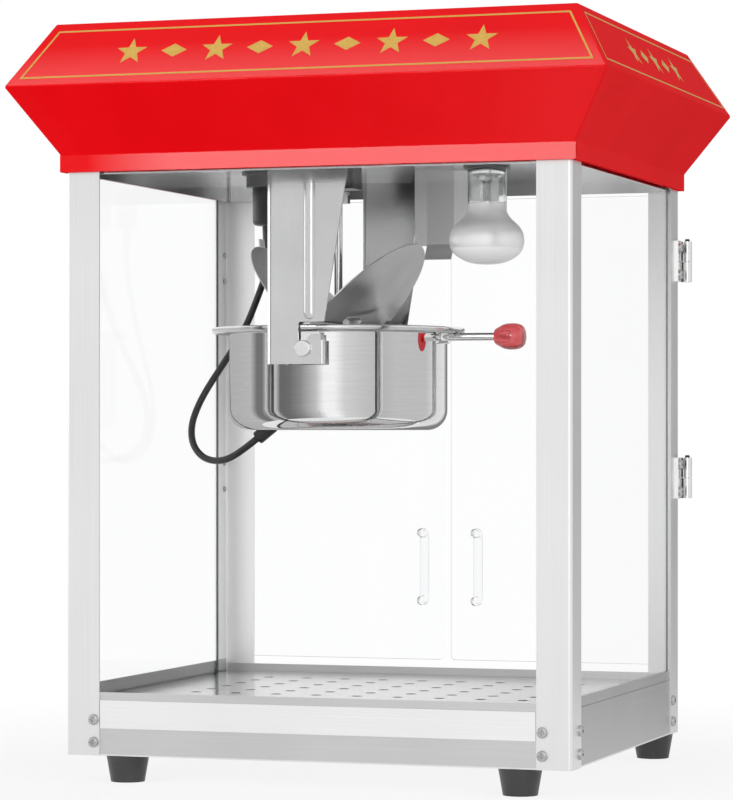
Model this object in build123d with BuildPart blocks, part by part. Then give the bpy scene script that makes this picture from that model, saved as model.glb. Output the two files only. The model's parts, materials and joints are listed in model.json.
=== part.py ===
from build123d import *
import os
from math import cos, pi, radians, sin, sqrt, tan

# Popcorn maker: a glazed steel cabinet under a folded canopy, with a tilting kettle inside.
# Millimetres. Origin on the table under the middle of the cabinet, +Z up, front towards -Y.

# Cabinet
cabinet_width = 430.0
cabinet_depth = 366.0
sheet = 1.2
foot_height = 22.0
foot_top_radius = 17.8
foot_bottom_radius = 14.0
front_foot_inset = 47.0
rear_foot_inset = 19.0
foot_end_inset = 18.0
post_flange = 29.0
post_bend = 3.0
ceiling_height = 517.0
ceiling_flange = 17.0
front_sill_top = 74.0
side_sill_top = 78.0
band_bottom = 44.5
band_top = 67.5
band_end_gap = 0.6
ledge_top = 66.0
ledge_reach = 12.0
crease_drop = 8.6
crease_depth = 0.7
crease_width = 1.2
pane_thickness = 3.0
pane_top_gap = 5.0
pane_edge_gap = 0.5
pane_rear_gap = 1.5
pane_flange_gap = 0.4
bend_clearance = 2.0
corner_radius = 3.5

# Deck and kernel drawer
deck_edge_gap = 1.0
deck_hole_radius = 4.5
deck_hole_pitch = 36.0
deck_holes_x = 9
deck_holes_y = 7
heater_width = 220.0
heater_depth = 40.0
heater_height = 8.0
heater_y = -120.0
drawer_width = 150.0
drawer_front_y = -20.0
drawer_height = 33.0
drawer_wall = 1.0
drawer_gap = 0.3
drawer_face_overlap = 6.0
drawer_lip = 14.0
drawer_lip_drop = 5.0
runner_foot = 11.0
runner_height = 16.0
runner_front_y = -100.0

# Pan head screws
screw_shank_radius = 2.5
screw_head_radius = 4.4
screw_head_height = 2.8
screw_crown = 0.65
screw_grip = 6.0
screw_hole_gap = 0.1
recess_length = 4.6
recess_width = 1.0
recess_depth = 1.5
screw_low_z = 33.0
screw_pitch_z = 18.5
screw_edge = 5.0

# Canopy
skirt_gap = 4.25
skirt_overlap = 15.5
skirt_height = 14.2
canopy_flare = 34.75
waist_rise = 52.5
crown_inset = 32.5
crown_rise = 106.0
canopy_fold = 2.0
seam_width = 0.8

# Rear doors and their lift-off hinges
door_gap = 0.8
door_thickness = 4.0
door_bottom = 81.0
door_top_gap = 19.0
door_meeting_gap = 7.0
door_side_inset = 2.0
lower_hinge_height = 247.0
upper_hinge_drop = 78.0
hinge_length = 36.0
hinge_leaf = 2.3
hinge_barrel_radius = 4.0
hinge_barrel_out = 6.2
hinge_barrel_back = 8.0
hinge_pin_radius = 2.2
hinge_post_reach = 11.0
hinge_door_reach = 26.0
hinge_screw_pitch = 24.0
knuckle_gap = 0.3
running_gap = 0.05
pull_height = 70.0
pull_depth = 14.0
pull_width = 9.0
pull_z = 165.0
pull_inset = 22.0

# Kettle, hung on two studs
kettle_x = -41.0
kettle_radius = 93.6
kettle_wall = 1.2
kettle_depth = 87.5
kettle_corner = 17.0
floor_rise = 21.0
rim_width = 14.9
rim_thickness = 3.5
base_plate_thickness = 1.5
coil_inset = 18.0
coil_thickness = 9.0
pivot_drop = 160.0
pivot_offset = 7.2
pivot_below_rim = 20.0
pivot_radius = 4.0
pivot_head_radius = 6.8
pivot_head_thickness = 3.0
pivot_plate_left = 8.0
pivot_plate_right = 13.0
pivot_plate_drop = 9.0
pivot_plate_gap = 1.0
pivot_plate_lip_gap = 2.5
handle_below_rim = 8.4
handle_radius = 3.3
handle_reach = 46.4
knob_length = 26.6
knob_neck_radius = 5.6
knob_head_radius = 10.3
handle_boss_radius = 6.0
handle_boss_length = 6.0

# Crossbar, lids and stirrer
crossbar_width = 23.0
crossbar_thickness = 2.5
crossbar_end_inset = 2.5
lid_axis_rise = 6.5
lid_axis_offset = 9.0
lid_overhang = 4.4
lid_thickness = 1.0
lid_open = 48.0
lid_rod_radius = 1.8
lid_knuckle_radius = 3.2
lid_inner_ear = 20.0
outer_ear_inset = 7.6
ear_thickness = 2.5
lid_ear_gap = 0.4
tab_width = 12.0
tab_length = 8.0
tab_bend = 35.0
bearing_radius = 6.5
bearing_height = 17.0
shaft_radius = 3.5
tang_end_gap = 0.7
tang_length = 8.3
tang_half_width = 3.0
tang_gap = 0.1
blade_wall_gap = 16.4
blade_width = 12.0
blade_thickness = 2.5
blade_gap = 1.5
blade_hub_radius = 9.0
blade_hub_height = 12.0

# Drive under and above the ceiling
hub_radius = 10.0
hub_drop = 23.5
hub_length = 9.5
hub_web = 2.5
stem_radius = 4.0
stem_reach = 13.8
block_gap = 2.5
block_width = 34.0
block_depth = 30.0
stem_hole_radius = 9.0
gearbox_width = 84.0
gearbox_depth = 62.0
gearbox_height = 38.0
motor_radius = 26.0
motor_length = 66.0

# Kettle hangers
hanger_gap = 2.5
hanger_sheet = 1.5
hanger_left_reach = 32.2
hanger_right_reach = 38.8
taper_top_drop = 12.0
taper_reach = 18.8
hanger_end_drop = 13.0
hanger_bend = 9.0
hanger_bend_width = 6.9
rear_hanger_bend = 3.0
rear_hanger_left_reach = 21.2
hook_reach = 17.1
hook_rise = 12.0
slot_rise = 22.0
slot_corner = 2.5
hook_corner = 5.0
hanger_foot = 20.0
rib_radius = 6.5
rib_sink = 4.2
rib_offset = 5.8
rib_rise = 7.0
rib_top_drop = 9.0
hanger_screw_inset = 14.0

# Lamp and its shield
lamp_x = 109.5
lamp_y = -60.0
bulb_length = 73.0
bulb_drop = 17.5
bulb_cap_radius = 12.4
bulb_profile = [
    (16.0, 1.3),
    (23.0, 4.4),
    (28.0, 9.6),
    (30.4, 18.6),
    (28.5, 26.2),
    (24.3, 32.0),
    (20.0, 37.6),
    (16.8, 43.2),
    (15.3, 49.0),
    (14.8, 62.0),
]
bulb_cap_drop = 7.0
lampholder_radius = 19.5
lampholder_length = 12.0
shield_y = 75.0
shield_left = 1.4
shield_turn = 14.0
shield_turn_back = 8.0
shield_face = 24.5
shield_side = 40.4
shield_side_back = 26.0
shield_height = 66.4
shield_flap = 16.0
flap_slant = 35.0

# Kettle socket, plug and cord
socket_x = -127.6
socket_y = 60.0
socket_radius = 19.0
socket_flange_radius = 23.0
socket_length = 13.0
plug_radius = 13.5
plug_length = 34.0
plug_neck_radius = 5.0
plug_neck_length = 18.0
cord_radius = 3.0
gland_radius = 6.0
gland_length = 17.0
gland_inset = 15.0
gland_y = 3.0
gland_depth = 3.5
gland_direction = (-0.80, 0.08, -0.60)
cord_lead = 20.0
cord_route = [
    (-151.0, 11.0, 262.0),
    (-171.0, 18.0, 263.5),
    (-185.0, 25.0, 275.0),
    (-189.5, 31.0, 292.0),
    (-185.5, 37.0, 310.0),
    (-178.0, 43.0, 327.0),
    (-168.0, 48.0, 344.0),
    (-157.0, 52.0, 362.0),
    (-146.5, 55.5, 381.0),
    (-137.5, 58.0, 404.0),
]

# Switches and power gland on the rear slope
switch_pitch = 42.0
switch_width = 22.0
switch_length = 30.0
switch_bezel = 2.2
switch_depth = 18.0
rocker_width = 17.0
rocker_length = 23.6
rocker_gap = 0.4
rocker_swing = 1.1
rocker_tilt = 8.0
rocker_rise = 5.0
rocker_dip = 1.8
rocker_drop = 4.0
rocker_pivot = 0.5
rocker_pin_radius = 1.2
rocker_pin_reach = 0.7
power_gland_x = 130.0
power_gland_radius = 8.0
power_gland_rise = 11.0

# Places worked out from the sizes above
half_width = cabinet_width / 2
half_depth = cabinet_depth / 2
pan_top = foot_height + sheet
apron_face_x = half_width - sheet
apron_face_y = half_depth - sheet
pane_face_x = apron_face_x - sheet
pane_face_y = apron_face_y - sheet
apron_half_x = apron_face_x - bend_clearance
ceiling_top = ceiling_height + sheet
screw_hole_radius = screw_shank_radius + screw_hole_gap
front_foot_x = half_width - front_foot_inset
rear_foot_x = half_width - rear_foot_inset
foot_y = half_depth - foot_end_inset
pane_top = ceiling_height - pane_top_gap

# Canopy outline
skirt_width = cabinet_width + 2 * skirt_gap
skirt_depth = cabinet_depth + 2 * skirt_gap
skirt_bottom = ceiling_height - skirt_overlap
skirt_top = skirt_bottom + skirt_height
canopy_width = skirt_width + 2 * canopy_flare
canopy_depth = skirt_depth + 2 * canopy_flare
canopy_waist = ceiling_height + waist_rise
crown_width = canopy_width - 2 * crown_inset
crown_depth = canopy_depth - 2 * crown_inset
crown_height = ceiling_height + crown_rise

# Doors
door_top = ceiling_height - door_top_gap
hinge_heights = (lower_hinge_height, ceiling_height - upper_hinge_drop)

# Kettle and what sits on it, from the height of its studs
pivot_height = ceiling_height - pivot_drop
pivot_x = kettle_x + pivot_offset
rim_top = pivot_height + pivot_below_rim
rim_radius = kettle_radius + rim_width
kettle_bottom = rim_top - kettle_depth
kettle_floor = kettle_bottom + floor_rise
kettle_inner = kettle_radius - kettle_wall
base_radius = kettle_radius - kettle_corner
coil_radius = base_radius - coil_inset
handle_height = rim_top - handle_below_rim
handle_start = kettle_x + kettle_radius
knob_start_x = handle_start + handle_reach
knob_end_x = knob_start_x + knob_length
crossbar_half_length = rim_radius - crossbar_end_inset
lid_axis_height = rim_top + lid_axis_rise
lid_radius = kettle_radius + lid_overhang
lid_outer_ear = kettle_radius - outer_ear_inset
bearing_top = rim_top + bearing_height
blade_radius = kettle_inner - blade_wall_gap
gland_point = (kettle_x - base_radius + gland_inset, gland_y, kettle_bottom + gland_depth)

# Drive, hangers, lamp and socket, from the ceiling down
hub_top = ceiling_height - hub_drop
hub_bottom = hub_top - hub_length
hub_slot_top = hub_top - hub_web
shaft_top = hub_slot_top - tang_end_gap
tang_bottom = shaft_top - tang_length
stem_top = ceiling_top + stem_reach
block_bottom = hub_top + block_gap
hanger_y = rim_radius + hanger_gap
hanger_left = pivot_x - hanger_left_reach
hanger_right = pivot_x + hanger_right_reach
hanger_taper_top = ceiling_height - taper_top_drop
hanger_taper_x = pivot_x + taper_reach
hanger_bottom = pivot_height - hanger_end_drop
rear_hanger_left = pivot_x - rear_hanger_left_reach
hook_right = pivot_x + hook_reach
hook_top = pivot_height + hook_rise
slot_top = pivot_height + slot_rise
rib_x = pivot_x + rib_offset
rib_bottom = slot_top + rib_rise
rib_top = ceiling_height - rib_top_drop
bulb_neck_top = ceiling_height - bulb_drop
bulb_bottom = bulb_neck_top - bulb_length
bulb_cap_top = ceiling_height - bulb_cap_drop
lampholder_bottom = ceiling_height - lampholder_length
shield_bottom = ceiling_height - shield_height
shield_right = shield_left + shield_turn + shield_face + shield_side
socket_bottom = ceiling_height - socket_length
plug_bottom = socket_bottom - plug_length
plug_neck_bottom = plug_bottom - plug_neck_length

os.makedirs("parts", exist_ok=True)


def slab(x0, x1, y0, y1, z0, z1, mode=Mode.ADD):
    """Adds or cuts the block between two corners in the part being built."""
    with Locations(((x0 + x1) / 2, (y0 + y1) / 2, (z0 + z1) / 2)):
        Box(abs(x1 - x0), abs(y1 - y0), abs(z1 - z0), mode=mode)


def bar(center, radius, length, direction, mode=Mode.ADD):
    """Adds or cuts a round bar that starts at a point and runs along a direction."""
    with Locations(Plane(origin=center, z_dir=direction)):
        Cylinder(radius, length, align=(Align.CENTER, Align.CENTER, Align.MIN), mode=mode)


def save(piece, name):
    """Labels a finished piece and writes it as a file of that name."""
    piece.part.label = name
    export_step(piece.part, f"parts/{name}.step")


# Screw places: two on each face of each post, and one up through each foot
post_screws = []
for side_x in (-1, 1):
    for side_y in (-1, 1):
        for level in range(2):
            height = screw_low_z + level * screw_pitch_z
            face_x = side_x * (half_width - post_flange + screw_edge)
            face_y = side_y * (half_depth - post_flange + screw_edge)
            post_screws.append(Plane((face_x, side_y * half_depth, height), z_dir=(0, side_y, 0)))
            post_screws.append(Plane((side_x * half_width, face_y, height), z_dir=(side_x, 0, 0)))
foot_places = [
    (side * (front_foot_x if end < 0 else rear_foot_x), end * foot_y)
    for side in (-1, 1)
    for end in (-1, 1)
]
foot_screw_seat = foot_height / 3
foot_screws = [Plane((x, y, foot_screw_seat), z_dir=(0, 0, -1)) for x, y in foot_places]


# Hinge places: barrels outside the rear corners, two screws in each leaf
barrel_x = half_width + hinge_barrel_out
barrel_y = half_depth + hinge_barrel_back
door_face_y = half_depth + door_gap
door_back_y = door_face_y + door_thickness
knuckle_length = (hinge_length - knuckle_gap) / 2
post_leaf_screws = []
door_leaf_screws = {}
for side in (-1, 1):
    door_leaf_screws[side] = []
    for height in hinge_heights:
        for step in (-1, 1):
            screw_z = height + step * hinge_screw_pitch / 2
            post_leaf_y = half_depth - hinge_post_reach / 2
            post_leaf_x = side * (half_width + hinge_leaf)
            post_leaf_screws.append(Plane((post_leaf_x, post_leaf_y, screw_z), z_dir=(side, 0, 0)))
            door_leaf_x = side * (half_width - hinge_door_reach / 2)
            door_leaf_place = (door_leaf_x, door_back_y + hinge_leaf, screw_z)
            door_leaf_screws[side].append(Plane(door_leaf_place, z_dir=(0, 1, 0)))


def screw_holes(planes, reach):
    """Cuts clearance holes for screws at the given faces, both ways from each face."""
    with Locations(*planes):
        Cylinder(screw_hole_radius, 2 * reach, mode=Mode.SUBTRACT)


def make_screw(grip):
    """A pan head screw, its head on the XY plane and its shank below."""
    with BuildPart() as screw:
        bar((0, 0, 0), screw_head_radius, screw_head_height, (0, 0, 1))
        fillet(screw.edges().group_by(Axis.Z)[-1], screw_head_height * screw_crown)
        bar((0, 0, 0), screw_shank_radius, grip, (0, 0, -1))
        with Locations((0, 0, screw_head_height - recess_depth / 2)):
            Box(recess_length, recess_width, recess_depth, mode=Mode.SUBTRACT)
            Box(recess_width, recess_length, recess_depth, mode=Mode.SUBTRACT)
    return screw.part


def make_post(side_x, side_y):
    """A corner post: sheet folded to an angle, open towards the middle of the cabinet."""
    with BuildPart() as post:
        with BuildSketch(Plane.XY.offset(foot_height)) as section:
            with BuildLine():
                Polyline(
                    (side_x * half_width, side_y * half_depth),
                    (side_x * (half_width - post_flange), side_y * half_depth),
                    (side_x * (half_width - post_flange), side_y * apron_face_y),
                    (side_x * apron_face_x, side_y * apron_face_y),
                    (side_x * apron_face_x, side_y * (half_depth - post_flange)),
                    (side_x * half_width, side_y * (half_depth - post_flange)),
                    close=True,
                )
            make_face()
            inner_corner = (side_x * apron_face_x, side_y * apron_face_y, foot_height)
            fillet(section.vertices().sort_by_distance(inner_corner)[0], post_bend - sheet)
            outer_corner = (side_x * half_width, side_y * half_depth, foot_height)
            fillet(section.vertices().sort_by_distance(outer_corner)[0], post_bend)
        extrude(amount=ceiling_top - foot_height)
        screw_holes(post_screws + post_leaf_screws, 2 * sheet + hinge_leaf)
    return post


for side_x, side_name in ((-1, "left"), (1, "right")):
    for side_y, end_name in ((-1, "front"), (1, "rear")):
        save(make_post(side_x, side_y), f"post_{end_name}_{side_name}")

# Base pan, feet and aprons
with BuildPart() as base_pan:
    with BuildSketch(Plane.XY.offset(foot_height)):
        RectangleRounded(2 * apron_face_x, 2 * apron_face_y, corner_radius)
    extrude(amount=sheet)
    with Locations(*[(x, y, foot_height) for x, y in foot_places]):
        Cylinder(screw_hole_radius, 4 * sheet, mode=Mode.SUBTRACT)
save(base_pan, "base_pan")

with BuildPart() as feet:
    for x, y in foot_places:
        with BuildSketch(Plane((x, y, 0))):
            Circle(foot_bottom_radius)
        with BuildSketch(Plane((x, y, foot_height))):
            Circle(foot_top_radius)
        loft()
        bar((x, y, 0), screw_head_radius + 1, foot_screw_seat, (0, 0, 1), Mode.SUBTRACT)
        bar((x, y, 0), screw_hole_radius, foot_height, (0, 0, 1), Mode.SUBTRACT)
save(feet, "feet")

with BuildPart() as front_apron:
    slab(-apron_half_x, apron_half_x, -apron_face_y, -pane_face_y, pan_top, front_sill_top)
    slab(-apron_half_x, apron_half_x, -pane_face_y, -pane_face_y + ledge_reach, ledge_top - sheet, ledge_top)
    screw_holes(post_screws, 3 * sheet)
save(front_apron, "front_apron")

band_half = half_width - post_flange - band_end_gap
with BuildPart() as front_band:
    slab(-band_half, band_half, -half_depth, -apron_face_y, band_bottom, band_top)
save(front_band, "front_band")

drawer_half = drawer_width / 2
drawer_bottom = pan_top + sheet + drawer_gap
drawer_top = drawer_bottom + drawer_height
with BuildPart() as rear_apron:
    slab(-apron_half_x, apron_half_x, pane_face_y, apron_face_y, pan_top, front_sill_top)
    slab(-apron_half_x, apron_half_x, pane_face_y - ledge_reach, pane_face_y, ledge_top - sheet, ledge_top)
    slab(
        -drawer_half - 2 * drawer_gap,
        drawer_half + 2 * drawer_gap,
        pane_face_y - sheet,
        half_depth,
        foot_height,
        drawer_top + 2 * drawer_gap,
        Mode.SUBTRACT,
    )
    screw_holes(post_screws, 3 * sheet)
save(rear_apron, "rear_apron")

side_apron_y = pane_face_y - pane_edge_gap
side_ledge_y = side_apron_y - ledge_reach
for side, side_name in ((-1, "left"), (1, "right")):
    with BuildPart() as side_apron:
        slab(side * pane_face_x, side * apron_face_x, -side_apron_y, side_apron_y, pan_top, side_sill_top)
        slab(
            side * (pane_face_x - ledge_reach),
            side * pane_face_x,
            -side_ledge_y,
            side_ledge_y,
            ledge_top - sheet,
            ledge_top,
        )
        slab(
            side * (apron_face_x - crease_depth),
            side * apron_face_x,
            -half_depth + post_flange,
            half_depth - post_flange,
            side_sill_top - crease_drop,
            side_sill_top - crease_drop + crease_width,
            Mode.SUBTRACT,
        )
        screw_holes(post_screws, 3 * sheet)
    save(side_apron, f"{side_name}_apron")

# Warming deck, its heater and the kernel drawer below
deck_half_x = pane_face_x - pane_thickness - deck_edge_gap
deck_front_y = pane_face_y - pane_thickness - deck_edge_gap
deck_rear_y = pane_face_y - deck_edge_gap
with BuildPart() as deck:
    slab(-deck_half_x, deck_half_x, -deck_front_y, deck_rear_y, ledge_top, ledge_top + sheet)
    with Locations((0, 0, ledge_top)):
        with GridLocations(deck_hole_pitch, deck_hole_pitch, deck_holes_x, deck_holes_y):
            Cylinder(deck_hole_radius, 4 * sheet, mode=Mode.SUBTRACT)
save(deck, "deck")

with BuildPart() as deck_heater:
    with Locations((0, heater_y, ledge_top - heater_height / 2)):
        Box(heater_width, heater_depth, heater_height)
    fillet(deck_heater.edges().filter_by(Axis.Z), corner_radius)
save(deck_heater, "deck_heater")

with BuildPart() as drawer_runners:
    for side in (-1, 1):
        wall_x = side * (drawer_half + drawer_gap)
        slab(wall_x, wall_x + side * sheet, runner_front_y, side_ledge_y, pan_top, pan_top + runner_height)
        slab(wall_x - side * runner_foot, wall_x, runner_front_y, side_ledge_y, pan_top, pan_top + sheet)
save(drawer_runners, "drawer_runners")

drawer_face_y = apron_face_y + drawer_gap
face_half = drawer_half + drawer_face_overlap
face_top = drawer_top + drawer_face_overlap
with BuildPart() as kernel_drawer:
    slab(-drawer_half, drawer_half, drawer_front_y, drawer_face_y, drawer_bottom, drawer_top)
    slab(
        -drawer_half + drawer_wall,
        drawer_half - drawer_wall,
        drawer_front_y + drawer_wall,
        drawer_face_y - drawer_wall,
        drawer_bottom + drawer_wall,
        drawer_top,
        Mode.SUBTRACT,
    )
    slab(-face_half, face_half, drawer_face_y, drawer_face_y + sheet, drawer_bottom, face_top)
    lip_y = drawer_face_y + sheet + drawer_lip
    slab(-face_half, face_half, drawer_face_y + sheet, lip_y, face_top - sheet, face_top)
    slab(-face_half, face_half, lip_y - sheet, lip_y, face_top - drawer_lip_drop, face_top - sheet)
save(kernel_drawer, "kernel_drawer")

# Glass panes
with BuildPart() as front_glass:
    slab(-apron_half_x, apron_half_x, -pane_face_y, -pane_face_y + pane_thickness, ledge_top, pane_top)
    chamfer(front_glass.edges().filter_by(Axis.Z), 0.4)
save(front_glass, "front_glass")

pane_front_y = -pane_face_y + pane_thickness + pane_edge_gap
pane_rear_y = half_depth - post_flange - pane_rear_gap
for side, side_name in ((-1, "left"), (1, "right")):
    with BuildPart() as side_glass:
        inner_x = pane_face_x - pane_thickness
        slab(side * inner_x, side * pane_face_x, pane_front_y, pane_rear_y, ledge_top, pane_top)
        chamfer(side_glass.edges().filter_by(Axis.Z), 0.4)
    save(side_glass, f"{side_name}_glass")

# Ceiling pan with its flange inside the panes, and the holes for what hangs from it
flange_x = pane_face_x - pane_thickness - pane_flange_gap
flange_y = pane_face_y - pane_thickness - pane_flange_gap
front_hanger_screws = [
    (x, -hanger_y - hanger_foot / 2, ceiling_height - hanger_sheet)
    for x in (hanger_left + hanger_screw_inset, hanger_right - hanger_screw_inset)
]
rear_hanger_screws = [
    (x, hanger_y + hanger_foot / 2, ceiling_height - hanger_sheet)
    for x in (rear_hanger_left + hanger_screw_inset, hanger_right - hanger_screw_inset)
]
shield_screws = [
    (x, shield_y + hanger_foot / 2, ceiling_height - hanger_sheet)
    for x in (shield_left + hanger_screw_inset, shield_right - hanger_screw_inset)
]
ceiling_screw_places = front_hanger_screws + rear_hanger_screws + shield_screws
with BuildPart() as ceiling_pan:
    with BuildSketch(Plane.XY.offset(ceiling_height)):
        RectangleRounded(2 * apron_face_x, 2 * apron_face_y, corner_radius)
    extrude(amount=sheet)
    with BuildSketch(Plane.XY.offset(ceiling_height - ceiling_flange)):
        RectangleRounded(2 * flange_x, 2 * flange_y, corner_radius)
        inner_size = (2 * (flange_x - sheet), 2 * (flange_y - sheet))
        RectangleRounded(*inner_size, corner_radius - sheet, mode=Mode.SUBTRACT)
    extrude(amount=ceiling_flange)
    bar((kettle_x, 0, ceiling_height), stem_hole_radius, sheet, (0, 0, 1), Mode.SUBTRACT)
    with Locations(*ceiling_screw_places):
        Cylinder(screw_hole_radius, 6 * sheet, mode=Mode.SUBTRACT)
save(ceiling_pan, "ceiling_pan")


# Canopy: skirt, outward slope to the waist, inward slope to the crown
def canopy_solid(inset, bottom, top):
    """The canopy's outline as a solid, drawn in by an inset, between two heights."""
    rings = [
        (skirt_width, skirt_depth, bottom),
        (skirt_width, skirt_depth, skirt_top),
        (canopy_width, canopy_depth, canopy_waist),
        (crown_width, crown_depth, top),
    ]
    with BuildPart() as outline:
        for lower, upper in zip(rings[:-1], rings[1:]):
            for width, depth, height in (lower, upper):
                with BuildSketch(Plane.XY.offset(height)):
                    Rectangle(width - 2 * inset, depth - 2 * inset)
            loft(ruled=True)
    return outline.part


# Places on the middle of the rear upper slope, for the switches and the power gland
slope_run = (canopy_depth - crown_depth) / 2
slope_rise = crown_height - canopy_waist
slope_length = sqrt(slope_run**2 + slope_rise**2)
slope_normal = Vector(0, slope_rise, slope_run) / slope_length
slope_down = Vector(0, slope_run, -slope_rise) / slope_length


def slope_place(x):
    """A plane on the rear upper slope, its X along the canopy and its Z out of the slope."""
    middle = (x, (canopy_depth + crown_depth) / 4, (canopy_waist + crown_height) / 2)
    return Plane(middle, x_dir=(1, 0, 0), z_dir=slope_normal)


switch_names = ("light", "heat", "motor")
switch_places = {name: slope_place((index - 1) * switch_pitch) for index, name in enumerate(switch_names)}
gland_place = slope_place(power_gland_x)
housing_width = switch_width - switch_bezel
housing_length = switch_length - switch_bezel
stem_gland_radius = power_gland_radius - 1.5 * sheet

with BuildPart() as canopy_shell:
    add(canopy_solid(0, skirt_bottom, crown_height))
    outer_folds = canopy_shell.edges().filter_by(lambda edge: edge.center().Z > skirt_top - canopy_fold)
    fillet(outer_folds, canopy_fold)
    add(canopy_solid(sheet, skirt_bottom - sheet, crown_height - sheet), mode=Mode.SUBTRACT)
    with BuildSketch(Plane.XY.offset(skirt_bottom)):
        Rectangle(skirt_width - sheet, skirt_depth - sheet)
        RectangleRounded(cabinet_width, cabinet_depth, post_bend, mode=Mode.SUBTRACT)
    extrude(amount=sheet)
    slab(
        skirt_width / 2 - 2 * sheet,
        skirt_width / 2 + sheet,
        -skirt_depth / 2 + sheet,
        -skirt_depth / 2 + sheet + seam_width,
        skirt_bottom,
        skirt_top - canopy_fold,
        Mode.SUBTRACT,
    )
    with Locations(*switch_places.values()):
        cutout = (housing_width + 2 * screw_hole_gap, housing_length + 2 * screw_hole_gap, 6 * sheet)
        Box(*cutout, mode=Mode.SUBTRACT)
    with Locations(gland_place):
        Cylinder(stem_gland_radius + screw_hole_gap, 6 * sheet, mode=Mode.SUBTRACT)
save(canopy_shell, "canopy_shell")

# Rear doors on lift-off hinges
with BuildPart() as hinge_post_leaves:
    for side in (-1, 1):
        for height in hinge_heights:
            low = height - hinge_length / 2
            slab(
                side * half_width,
                side * (half_width + hinge_leaf),
                half_depth - hinge_post_reach,
                barrel_y,
                low,
                low + knuckle_length,
            )
            slab(
                side * half_width,
                side * (half_width + hinge_leaf),
                half_depth - hinge_post_reach,
                half_depth,
                low + knuckle_length,
                low + hinge_length,
            )
            barrel_base = (side * barrel_x, barrel_y, low)
            bar(barrel_base, hinge_barrel_radius, knuckle_length, (0, 0, 1))
            bar(barrel_base, hinge_pin_radius, knuckle_length, (0, 0, 1), Mode.SUBTRACT)
    screw_holes(post_leaf_screws, 2 * hinge_leaf)
save(hinge_post_leaves, "hinge_post_leaves")

with BuildPart() as hinge_pins:
    for side in (-1, 1):
        for height in hinge_heights:
            pin_base = (side * barrel_x, barrel_y, height - hinge_length / 2)
            bar(pin_base, hinge_pin_radius, hinge_length + hinge_pin_radius, (0, 0, 1))
    fillet(hinge_pins.edges().filter_by(GeomType.CIRCLE), hinge_pin_radius * 0.45)
save(hinge_pins, "hinge_pins")

# Screws that hold the fixed pieces together
screw = make_screw(screw_grip)
foot_screw = make_screw(foot_height - foot_screw_seat + 3 * sheet)
leaf_screw = make_screw(2 * hinge_leaf)
with BuildPart() as cabinet_screws:
    with Locations(*post_screws):
        add(screw)
    with Locations(*[Plane(place, z_dir=(0, 0, -1)) for place in ceiling_screw_places]):
        add(screw)
    with Locations(*foot_screws):
        add(foot_screw)
    with Locations(*post_leaf_screws):
        add(leaf_screw)
save(cabinet_screws, "cabinet_screws")

for side, side_name in ((-1, "left"), (1, "right")):
    with BuildPart() as door_panel:
        slab(
            side * door_meeting_gap / 2,
            side * (half_width - door_side_inset),
            door_face_y,
            door_back_y,
            door_bottom,
            door_top,
        )
        fillet(door_panel.edges().filter_by(Axis.Y), corner_radius)
        screw_holes(door_leaf_screws[side], 3 * hinge_leaf)
    save(door_panel, f"{side_name}_door_panel")

    with BuildPart() as door_leaves:
        for height in hinge_heights:
            low = height - hinge_length / 2
            knuckle_low = low + knuckle_length + knuckle_gap
            near_x = side * (half_width - hinge_door_reach)
            leaf_back_y = door_back_y + hinge_leaf
            leaf_edge_x = side * (half_width - door_side_inset)
            slab(near_x, side * barrel_x, door_back_y, leaf_back_y, knuckle_low, low + hinge_length)
            slab(near_x, leaf_edge_x, door_back_y, leaf_back_y, low, knuckle_low)
            barrel_base = (side * barrel_x, barrel_y, knuckle_low)
            bar(barrel_base, hinge_barrel_radius, knuckle_length, (0, 0, 1))
            bore_radius = hinge_pin_radius + running_gap
            bar(barrel_base, bore_radius, knuckle_length, (0, 0, 1), Mode.SUBTRACT)
        screw_holes(door_leaf_screws[side], 2 * hinge_leaf)
    save(door_leaves, f"{side_name}_door_leaves")

    with BuildPart() as door_screws:
        with Locations(*door_leaf_screws[side]):
            add(leaf_screw)
    save(door_screws, f"{side_name}_door_screws")

    pull_x = side * (door_meeting_gap / 2 + pull_inset)
    with BuildPart() as door_pull:
        with BuildSketch(Plane((pull_x, door_back_y, pull_z), x_dir=(0, 1, 0), z_dir=(1, 0, 0))):
            with BuildLine():
                Polyline(
                    (0, -pull_height / 2),
                    (pull_depth, -pull_height / 2 + pull_depth),
                    (pull_depth, pull_height / 2 - pull_depth),
                    (0, pull_height / 2),
                    (0, pull_height / 2 - pull_depth),
                    (pull_depth / 2, pull_height / 2 - 1.5 * pull_depth),
                    (pull_depth / 2, -pull_height / 2 + 1.5 * pull_depth),
                    (0, -pull_height / 2 + pull_depth),
                    close=True,
                )
            make_face()
        extrude(amount=pull_width / 2, both=True)
        fillet(door_pull.edges().filter_by(Axis.X).group_by(Axis.Y)[-1], pull_depth / 4)
    save(door_pull, f"{side_name}_door_pull")

# Kettle hangers: folded plates with a pressed rib and a drop-in slot for the kettle's stud
seat_radius = pivot_radius + running_gap


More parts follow.
